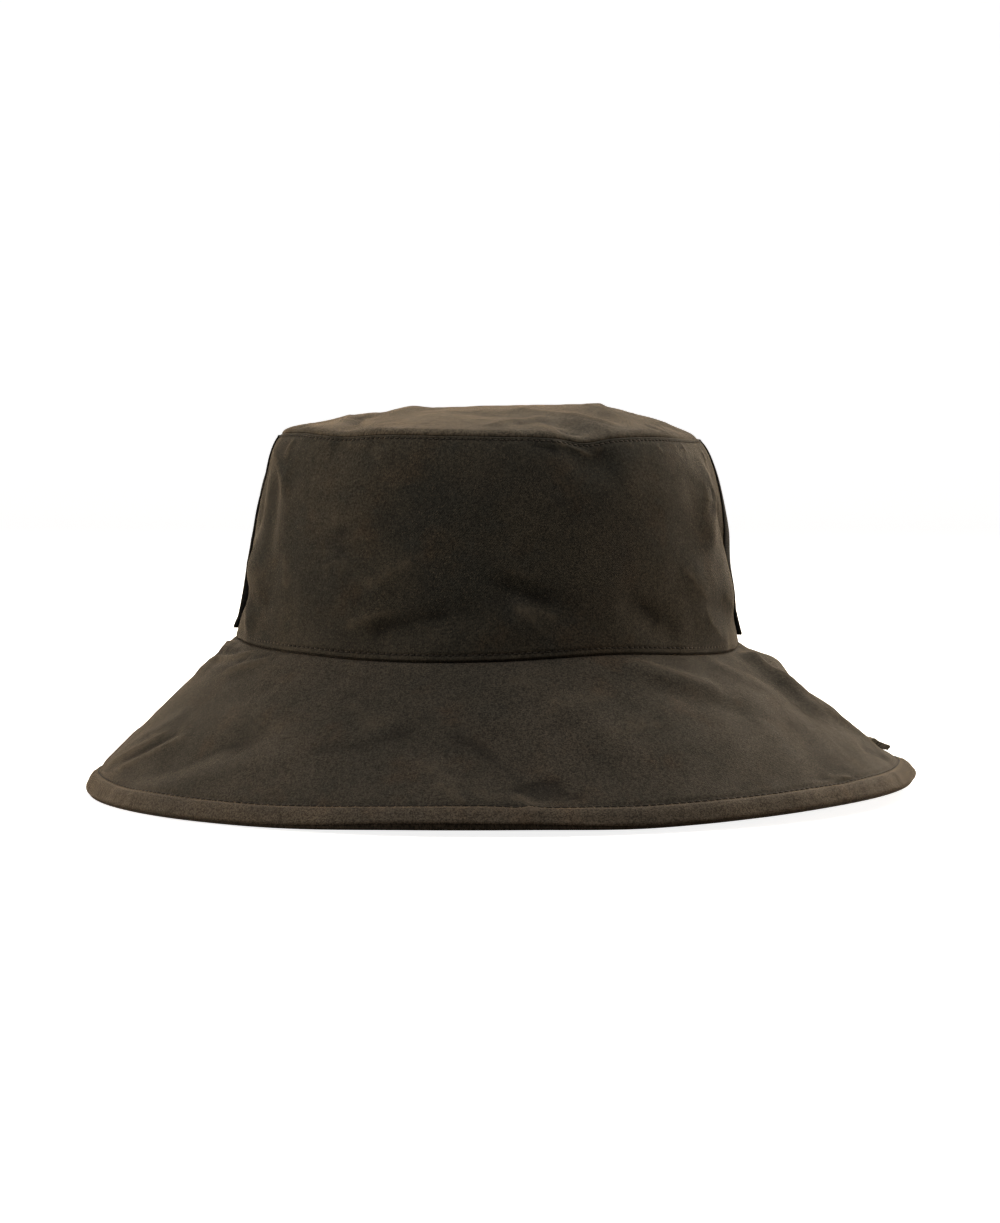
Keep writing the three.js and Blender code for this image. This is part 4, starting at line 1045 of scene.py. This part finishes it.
def stitch_azimuths(pitch, radius, start=-180.0, end=180.0):
    """Azimuths of the holes: whole multiples of a pitch along a circle of the radius."""
    step = math.degrees(pitch / radius)
    return np.arange(math.ceil(start / step), math.floor(end / step) + 1) * step


def crown_normal(azimuth):
    """Straight out of the crown: (sin, -cos, 0)."""
    angle = np.radians(azimuth)
    return np.stack(np.broadcast_arrays(np.sin(angle), -np.cos(angle), 0.0), axis=-1)


# Materials

def node(tree, kind, inputs=None, **settings):
    """A shader node with its settings, and with values or other nodes' sockets on its inputs."""
    made = tree.nodes.new("ShaderNode" + kind)
    for key, value in settings.items():
        setattr(made, key, value)
    for key, value in (inputs or {}).items():
        if isinstance(value, bpy.types.NodeSocket):
            tree.links.new(value, made.inputs[key])
        else:
            made.inputs[key].default_value = value
    return made


def sums(tree, operation, *values):
    """A Math node on its values, and its result."""
    return node(tree, "Math", dict(enumerate(values)), operation=operation).outputs[0]


def plus(tree, *values):
    """The sum of two values."""
    return sums(tree, "ADD", *values)


def times(tree, *values):
    """The product of two values."""
    return sums(tree, "MULTIPLY", *values)


def ranged(tree, value, low, high, to_low=0.0, to_high=1.0):
    """A value's smooth step from one range to another."""
    inputs = {0: value, 1: low, 2: high, 3: to_low, 4: to_high}
    made = node(tree, "MapRange", inputs, interpolation_type="SMOOTHSTEP")
    return made.outputs[0]


def blended(tree, share, first, second):
    """Two colours mixed by a share."""
    return node(tree, "Mix", {0: share, 6: first, 7: second}, data_type="RGBA").outputs[2]


def noise(tree, vector, size, detail=2.0, roughness=0.5, lift=0.0):
    """Noise from 0 to 1 whose lumps are about so many millimetres wide."""
    moved = node(tree, "VectorMath", {0: vector, 1: (lift, lift * 1.7, lift * 0.6)},
                 operation="ADD").outputs[0]
    inputs = {"Vector": moved, "Scale": 1.0 / size, "Detail": detail, "Roughness": roughness}
    return node(tree, "TexNoise", inputs).outputs[0]


def new_group(name, inputs, outputs):
    """An empty shader node group with named sockets, and its input and output nodes."""
    tree = bpy.data.node_groups.new(name, "ShaderNodeTree")
    kinds = {"value": "NodeSocketFloat", "colour": "NodeSocketColor", "vector": "NodeSocketVector"}
    for socket_name, kind in inputs:
        tree.interface.new_socket(name=socket_name, in_out="INPUT", socket_type=kinds[kind])
    for socket_name, kind in outputs:
        tree.interface.new_socket(name=socket_name, in_out="OUTPUT", socket_type=kinds[kind])
    return tree, tree.nodes.new("NodeGroupInput").outputs, tree.nodes.new("NodeGroupOutput").inputs


def cells(tree, vector, size):
    """Random colours of small irregular patches, one colour for each."""
    inputs = {"Vector": vector, "Scale": 1.0 / size}
    patches = node(tree, "TexVoronoi", inputs, voronoi_dimensions="2D")
    return node(tree, "SeparateXYZ", {0: patches.outputs["Color"]}).outputs


def woven_threads_group():
    """Plain weave on the laid-out cloth, in millimetres: the threads' height, the light and dark
    specks and short slubs along both directions, and the odd pale fleck."""
    tree, given, result = new_group(
        "woven threads", [("Cloth", "vector"), ("Thread", "value")],
        [("Height", "value"), ("Slubs", "value"), ("Flecks", "value")])
    split = node(tree, "SeparateXYZ", {0: given["Cloth"]}).outputs
    waves = []
    for way in (split[0], split[1]):
        turns = sums(tree, "DIVIDE", way, given["Thread"])
        waves.append(sums(tree, "SINE", times(tree, turns, math.pi)))
    weave = times(tree, times(tree, waves[0], waves[1]), 0.03)
    even = noise(tree, given["Cloth"], 0.50, 2.0, 0.65, 4.0)
    tree.links.new(plus(tree, weave, times(tree, even, 0.21)), result["Height"])
    specks = cells(tree, given["Cloth"], 0.37)
    both = times(tree, specks[0], 0.44)
    for stretch in ((1.0, 0.36, 1.0), (0.36, 1.0, 1.0)):
        stretched = node(tree, "VectorMath", {0: given["Cloth"], 1: stretch},
                         operation="MULTIPLY").outputs[0]
        both = plus(tree, both, times(tree, cells(tree, stretched, 0.33)[0], 0.17))
    both = plus(tree, both, times(tree, noise(tree, given["Cloth"], 0.9, 3.0, 0.6, 9.0), 0.22))
    tree.links.new(both, result["Slubs"])
    tree.links.new(ranged(tree, specks[1], 0.93, 0.97), result["Flecks"])
    return tree


def waxed_finish_group():
    """The wax and wear of the cloth, with painted shade. Two browns are mixed by slow noise, dull
    greyish and rusty places are laid over them, the slubs lighten and darken the threads, what stands
    out of the cloth is rubbed pale, and what lies deep is painted darker as shade in hollows and seams."""
    tree, given, result = new_group(
        "waxed finish",
        [("Place", "vector"), ("Wear and shade", "value"), ("Slubs", "value"), ("Flecks", "value"),
         ("Deep", "colour"), ("Warm", "colour"), ("Dull", "colour"), ("Rust", "colour"),
         ("Rubbed", "colour"), ("Rubbing", "value")],
        [("Color", "colour"), ("Roughness", "value"), ("Crumple", "value")])
    slow = noise(tree, given["Place"], 34, 3.0, 0.55)
    middle = noise(tree, given["Place"], 12, 3.0, 0.6, 50.0)
    colour = blended(tree, ranged(tree, slow, 0.32, 0.68), given["Deep"], given["Warm"])
    dull = times(tree, ranged(tree, middle, 0.50, 0.72), 0.55)
    colour = blended(tree, dull, colour, given["Dull"])
    rust = times(tree, ranged(tree, noise(tree, given["Place"], 17, 4.0, 0.6, 90.0), 0.52, 0.75), 0.6)
    colour = blended(tree, rust, colour, given["Rust"])
    # painted shade: where the attribute is below 0, in hollows and seams, the colour is darkened to as
    # little as 0.52
    deep = ranged(tree, given["Wear and shade"], -1.0, 0.0, 0.52, 1.0)
    slub = ranged(tree, given["Slubs"], 0.20, 0.80, 0.46, 1.58)
    shade = times(tree, deep, slub)
    colour = node(tree, "VectorMath", {0: colour, "Scale": shade}, operation="SCALE").outputs[0]
    patchy = ranged(tree, noise(tree, given["Place"], 3.2, 3.0, 0.65, 30.0), 0.30, 0.62)
    rubbed = times(tree, ranged(tree, given["Wear and shade"], 0.05, 0.95), patchy)
    rubbed = times(tree, rubbed, given["Rubbing"])
    flecks = times(tree, given["Flecks"], 0.25)
    colour = blended(tree, sums(tree, "MAXIMUM", rubbed, flecks), colour, given["Rubbed"])
    tree.links.new(colour, result["Color"])
    rough = plus(tree, ranged(tree, middle, 0.3, 0.7, 0.74, 0.86), times(tree, rubbed, 0.12))
    tree.links.new(rough, result["Roughness"])
    fine = noise(tree, given["Place"], 5.2, 3.0, 0.55, 12.0)
    tree.links.new(sums(tree, "ABSOLUTE", sums(tree, "SUBTRACT", fine, 0.5)), result["Crumple"])
    return tree


def stitch_holes_group():
    """Needle holes on a stitched row: count is whole at each hole, and a hole is dark where the
    distance to it, over pitch and across the row, is under a third of a millimetre."""
    tree, given, result = new_group("stitch holes", [("Row", "vector"), ("Pitch", "value")],
                                    [("Hole", "value")])
    split = node(tree, "SeparateXYZ", {0: given["Row"]}).outputs
    nearest = sums(tree, "SUBTRACT", split[0], sums(tree, "ROUND", split[0]))
    along = times(tree, nearest, given["Pitch"])
    square = plus(tree, times(tree, along, along), times(tree, split[1], split[1]))
    tree.links.new(ranged(tree, sums(tree, "SQRT", square), 0.14, 0.42, 1.0, 0.0), result["Hole"])
    return tree


def shader_of(material):
    """The material's Principled shader."""
    return next(item for item in material.node_tree.nodes if item.type == "BSDF_PRINCIPLED")


def finished(material, tree, colour, roughness, height, specular):
    """Puts a colour, a roughness and a height in millimetres on the material's shader."""
    shader = shader_of(material)
    bump = node(tree, "Bump", {"Height": height, "Distance": METRES})
    tree.links.new(colour, shader.inputs["Base Color"])
    tree.links.new(roughness, shader.inputs["Roughness"])
    tree.links.new(bump.outputs[0], shader.inputs["Normal"])
    shader.inputs["Specular IOR Level"].default_value = specular
    return shader


def cloth_parts(name):
    """A new material's tree, its place on the object in millimetres and its laid-out cloth."""
    material = bpy.data.materials.new(name)
    material.use_nodes = True
    tree = material.node_tree
    where = node(tree, "TexCoord").outputs["Object"]
    place = node(tree, "VectorMath", {0: where, "Scale": 1000.0}, operation="SCALE").outputs[0]
    cloth = node(tree, "UVMap", uv_map="cloth").outputs[0]
    return material, tree, place, cloth


def waxed_cotton(name, groups, deep, warm, dull, rust, rubbed, rubbing=0.6, pitch=CROWN_PITCH):
    """Waxed cotton: a fine weave under wax, rubbed pale on its creases and edges, and painted darker as
    shade in its hollows and seams.
    """
    threads_group, finish_group, holes_group = groups
    material, tree, place, cloth = cloth_parts(name)
    threads = node(tree, "Group", {"Cloth": cloth, "Thread": 0.46}, node_tree=threads_group)
    # the point attribute: rubbed wear where positive, painted shade where negative
    wear_and_shade = node(tree, "Attribute", attribute_name="wear_and_shade").outputs["Fac"]
    colours = {"Deep": deep, "Warm": warm, "Dull": dull, "Rust": rust, "Rubbed": rubbed}
    inputs = {key: (*value, 1.0) for key, value in colours.items()}
    inputs.update({"Place": place, "Wear and shade": wear_and_shade, "Slubs": threads.outputs["Slubs"],
                   "Flecks": threads.outputs["Flecks"], "Rubbing": rubbing})
    finish = node(tree, "Group", inputs, node_tree=finish_group)
    row = node(tree, "UVMap", uv_map="stitches").outputs[0]
    hole = node(tree, "Group", {"Row": row, "Pitch": pitch}, node_tree=holes_group).outputs[0]
    height = threads.outputs["Height"]
    height = plus(tree, height, times(tree, finish.outputs["Crumple"], 0.14))
    height = sums(tree, "SUBTRACT", height, times(tree, hole, 0.25))
    colour = blended(tree, times(tree, hole, 0.75), finish.outputs["Color"], (0.004, 0.003, 0.003, 1))
    shader = finished(material, tree, colour, finish.outputs["Roughness"], height, 0.10)
    shader.inputs["Sheen Weight"].default_value = 0.30
    shader.inputs["Sheen Roughness"].default_value = 0.14
    shader.inputs["Sheen Tint"].default_value = (1.0, 0.76, 0.50, 1)
    return material


def dark_tape(threads_group):
    """Ribbed tape, painted near-black as the shade in the gap at the crown's sides: its ribs run across the
    strip, 0.62 mm apart, with a paler lint.
    """
    material, tree, _, cloth = cloth_parts("tape painted near-black as shade")
    threads = node(tree, "Group", {"Cloth": cloth, "Thread": 0.40}, node_tree=threads_group)
    split = node(tree, "SeparateXYZ", {0: cloth}).outputs
    ribs = sums(tree, "SINE", times(tree, split[1], 2 * math.pi / 0.62))
    height = plus(tree, times(tree, ribs, 0.08), threads.outputs["Height"])
    shade = ranged(tree, threads.outputs["Slubs"], 0.2, 0.8)
    # painted shade: a near-black albedo of 0.0035 to 0.0085 stands in for the shade in the gap beside the
    # crown
    colour = blended(tree, shade, (0.0035, 0.0033, 0.0031, 1), (0.0085, 0.0080, 0.0072, 1))
    lint = times(tree, threads.outputs["Flecks"], 0.25)
    colour = blended(tree, lint, colour, (0.06, 0.055, 0.048, 1))
    finished(material, tree, colour, ranged(tree, ribs, -1, 1, 0.92, 0.78), height, 0.08)
    return material


def sewing_thread():
    """Dark brown thread with a fine twist along it."""
    material, tree, place, cloth = cloth_parts("sewing thread")
    split = node(tree, "SeparateXYZ", {0: cloth}).outputs
    turns = plus(tree, times(tree, split[0], 2 * math.pi / 0.42), times(tree, split[1], 5.2))
    twist = sums(tree, "SINE", turns)
    tone = noise(tree, place, 1.6, 2.0, 0.6)
    colour = blended(tree, ranged(tree, tone, 0.3, 0.7), (0.008, 0.007, 0.005, 1), (0.022, 0.018, 0.013, 1))
    roughness = ranged(tree, twist, -1, 1, 0.62, 0.5)
    finished(material, tree, colour, roughness, times(tree, twist, 0.03), 0.15)
    return material


groups = (woven_threads_group(), waxed_finish_group(), stitch_holes_group())
# The crown, brim, tip and hem are one waxed cotton painted at different brightnesses as light and shade:
# darkest on the crown's upright side, lighter on the sloping brim, and lighter still on the tip that faces
# up and on the hem.
crown_cotton_painted_darker = waxed_cotton(
    "waxed cotton of the crown, painted darker", groups, deep=(0.0134, 0.0128, 0.0099), warm=(0.0216, 0.0186, 0.0131),
    dull=(0.0158, 0.0161, 0.0139), rust=(0.0259, 0.0186, 0.0113), rubbed=(0.0900, 0.0720, 0.0500),
    rubbing=0.28)
tip_cotton_painted_lighter = waxed_cotton(
    "waxed cotton of the tip, painted lighter", groups, deep=(0.0296, 0.0249, 0.0179), warm=(0.0425, 0.0339, 0.0232),
    dull=(0.0335, 0.0306, 0.0251), rust=(0.0463, 0.0326, 0.0198), rubbed=(0.1000, 0.0800, 0.0560),
    rubbing=0.42)
brim_cotton = waxed_cotton(
    "waxed cotton of the brim", groups, deep=(0.0230, 0.0203, 0.0154), warm=(0.0302, 0.0254, 0.0191),
    dull=(0.0234, 0.0217, 0.0177), rust=(0.0324, 0.0225, 0.0144), rubbed=(0.0800, 0.0640, 0.0450),
    rubbing=0.30)
hem_cotton_painted_lighter = waxed_cotton(
    "waxed cotton of the hem, painted lighter", groups, deep=(0.0363, 0.0299, 0.0224), warm=(0.0495, 0.0392, 0.0278),
    dull=(0.0396, 0.0341, 0.0271), rust=(0.0517, 0.0363, 0.0237), rubbed=(0.0900, 0.0710, 0.0540),
    pitch=HEM_PITCH)
# painted light: the tab is the same waxed cotton painted about four times lighter, so that its end, which
# faces the front, looks lit
tab_cotton_painted_lit = waxed_cotton(
    "waxed cotton of the tab, painted lit", groups, deep=(0.1050, 0.0885, 0.0660), warm=(0.1425, 0.1170, 0.0840),
    dull=(0.1125, 0.0990, 0.0765), rust=(0.1275, 0.0960, 0.0660), rubbed=(0.1600, 0.1320, 0.1000))
near_black_tape_as_shade = dark_tape(groups[0])
thread = sewing_thread()

# The hat
replacing(crown_half("crown_front_cloth", -90, 90, 430, crown_cotton_painted_darker), "waxed_cotton", "crown_front")
replacing(crown_half("crown_back_cloth", 90, 270, 380, crown_cotton_painted_darker), "waxed_cotton", "crown_back")
replacing(crown_tip_panel(tip_cotton_painted_lighter), "waxed_cotton", "crown_tip")
replacing(brim_cloth(brim_cotton), "waxed_cotton", "brim")
replacing(hem_cloth(hem_cotton_painted_lighter), "waxed_cotton", "rim_hem")
replacing(side_tape_strip("tape_cloth_left", -1, 1.0, 1.3, (0.09, 0.34), near_black_tape_as_shade),
          "dark_tape", "side_tape_left")
replacing(side_tape_strip("tape_cloth_right", 1, 0.70, TAPE_FLARE, (0.05, 0.16), near_black_tape_as_shade),
          "dark_tape", "side_tape_right")
replacing(tab_cloth(tab_cotton_painted_lit), "waxed_cotton", "brim_tab")


def crown_row(rise):
    """The crown's face along a row of stitches at one rise."""
    def place(azimuth):
        """Points of the row, sunk a little at the brim seam."""
        rises = np.full_like(azimuth, rise)
        sunk = 0.32 * row_sunk(azimuth) if rise < 0.5 else 0.0
        return crown_surface(azimuth, rises, crown_sewing(azimuth, rises) - sunk)
    return place


replacing(stitch_row("stitches_brim_seam", crown_row(CROWN_ROW / CROWN_HEIGHT), crown_normal,
                     stitch_azimuths(CROWN_PITCH, MEAN_RADIUS), thread), "waxed_cotton")
replacing(stitch_row("stitches_tip_seam", crown_row(1 - TIP_ROW / CROWN_HEIGHT), crown_normal,
                     stitch_azimuths(TIP_PITCH, MEAN_RADIUS), thread), "waxed_cotton")
replacing(stitch_row("stitches_hem", lambda azimuth: hem_top(azimuth, HEM_ROW), brim_normal,
                     stitch_azimuths(HEM_PITCH, HEM_RADIUS), thread), "waxed_cotton")


# Floor, light and camera

def sweep():
    """A pale floor that curves up into a wall behind: the profile is level, then a quarter circle,
    then upright, carried across the width."""
    turn = np.linspace(0, math.pi / 2, 17)
    level = np.array([[-9.0, -0.0002], [3.0, -0.0002]])
    bend = np.stack([3.0 + 1.6 * np.sin(turn[1:]), 1.6 - 1.6 * np.cos(turn[1:]) - 0.0002], axis=1)
    profile = np.concatenate([level, bend, [[4.6, 7.0]]])
    points = np.concatenate([np.column_stack([np.full(len(profile), x), profile]) for x in (-9.0, 9.0)])
    count = len(profile)
    faces = [(k, count + k, count + k + 1, k + 1) for k in range(count - 1)]
    mesh = bpy.data.meshes.new("studio_sweep")
    mesh.from_pydata(points.tolist(), [], faces)
    mesh.shade_smooth()
    floor = linked("studio_sweep", mesh)
    material = bpy.data.materials.new("studio paper")
    material.use_nodes = True
    tree = material.node_tree
    tree.nodes.clear()
    seen = node(tree, "LightPath").outputs["Is Camera Ray"]
    paper = node(tree, "BsdfDiffuse", {"Color": (0.86, 0.86, 0.86, 1)})
    glow = node(tree, "Emission", {"Color": (1, 1, 1, 1), "Strength": 0.86})
    shown = node(tree, "AddShader", {0: paper.outputs[0], 1: glow.outputs[0]})
    quiet = node(tree, "BsdfDiffuse", {"Color": (0.30, 0.27, 0.24, 1)})
    both = node(tree, "MixShader", {0: seen, 1: quiet.outputs[0], 2: shown.outputs[0]})
    node(tree, "OutputMaterial", {"Surface": both.outputs[0]})
    mesh.materials.append(material)


def softbox(name, place, target, width, height, power, colour):
    """A rectangular area light that faces a target."""
    light = bpy.data.lights.new(name, "AREA")
    light.shape = "RECTANGLE"
    light.size = width
    light.size_y = height
    light.energy = power
    light.color = colour
    lamp = linked(name, light)
    lamp.location = place
    lamp.visible_camera = False
    back = np.array(place) - np.array(target)
    flat = math.hypot(back[0], back[1])
    lamp.rotation_euler = (math.atan2(flat, back[2]), 0, math.atan2(back[0], -back[1]))


sweep()
WARM = (1.0, 0.86, 0.69)
WARMER = (1.0, 0.80, 0.60)
for side, place, aim, width, height, power, colour in (
        ("above", (0.25, 0.95, 1.35), 0.08, 1.6, 1.0, 40, WARM),
        ("back_left", (-0.55, 1.30, 0.45), 0.07, 0.7, 0.9, 4, WARM),
        ("back_right", (0.75, 1.15, 0.45), 0.07, 0.9, 0.9, 10, WARM),
        ("left", (-1.60, -0.45, 0.28), 0.07, 0.8, 0.5, 12.5, WARM),
        ("right", (1.5, -0.25, 0.30), 0.07, 0.9, 0.5, 4, WARM),
        ("low_left", (-1.45, 0.45, 0.18), 0.07, 0.9, 0.3, 14, WARMER),
        ("low_right", (1.45, 0.45, 0.18), 0.07, 0.9, 0.3, 14, WARMER),
        ("front", (-0.30, -0.70, 1.95), 0.05, 1.4, 0.8, 31, (1.0, 0.97, 0.93))):
    softbox("softbox_" + side, place, (0, 0, aim), width, height, power, colour)

world = bpy.data.worlds.new("studio")
world.use_nodes = True
world_tree = world.node_tree
background = next(item for item in world_tree.nodes if item.type == "BACKGROUND")
background.inputs["Color"].default_value = (1, 1, 1, 1)
background.inputs["Strength"].default_value = 0.11
bpy.context.scene.world = world

camera_data = bpy.data.cameras.new("camera")
camera_data.sensor_width = 36.0
camera_data.lens = 3617.0 / 1223.0 * 36.0
camera = linked("camera", camera_data)
camera.location = (0.0, -1.3, 0.1346)
camera.rotation_euler = (math.radians(90 - 3.125), 0, 0)
bpy.context.scene.camera = camera
bpy.context.scene.view_settings.view_transform = "Standard"
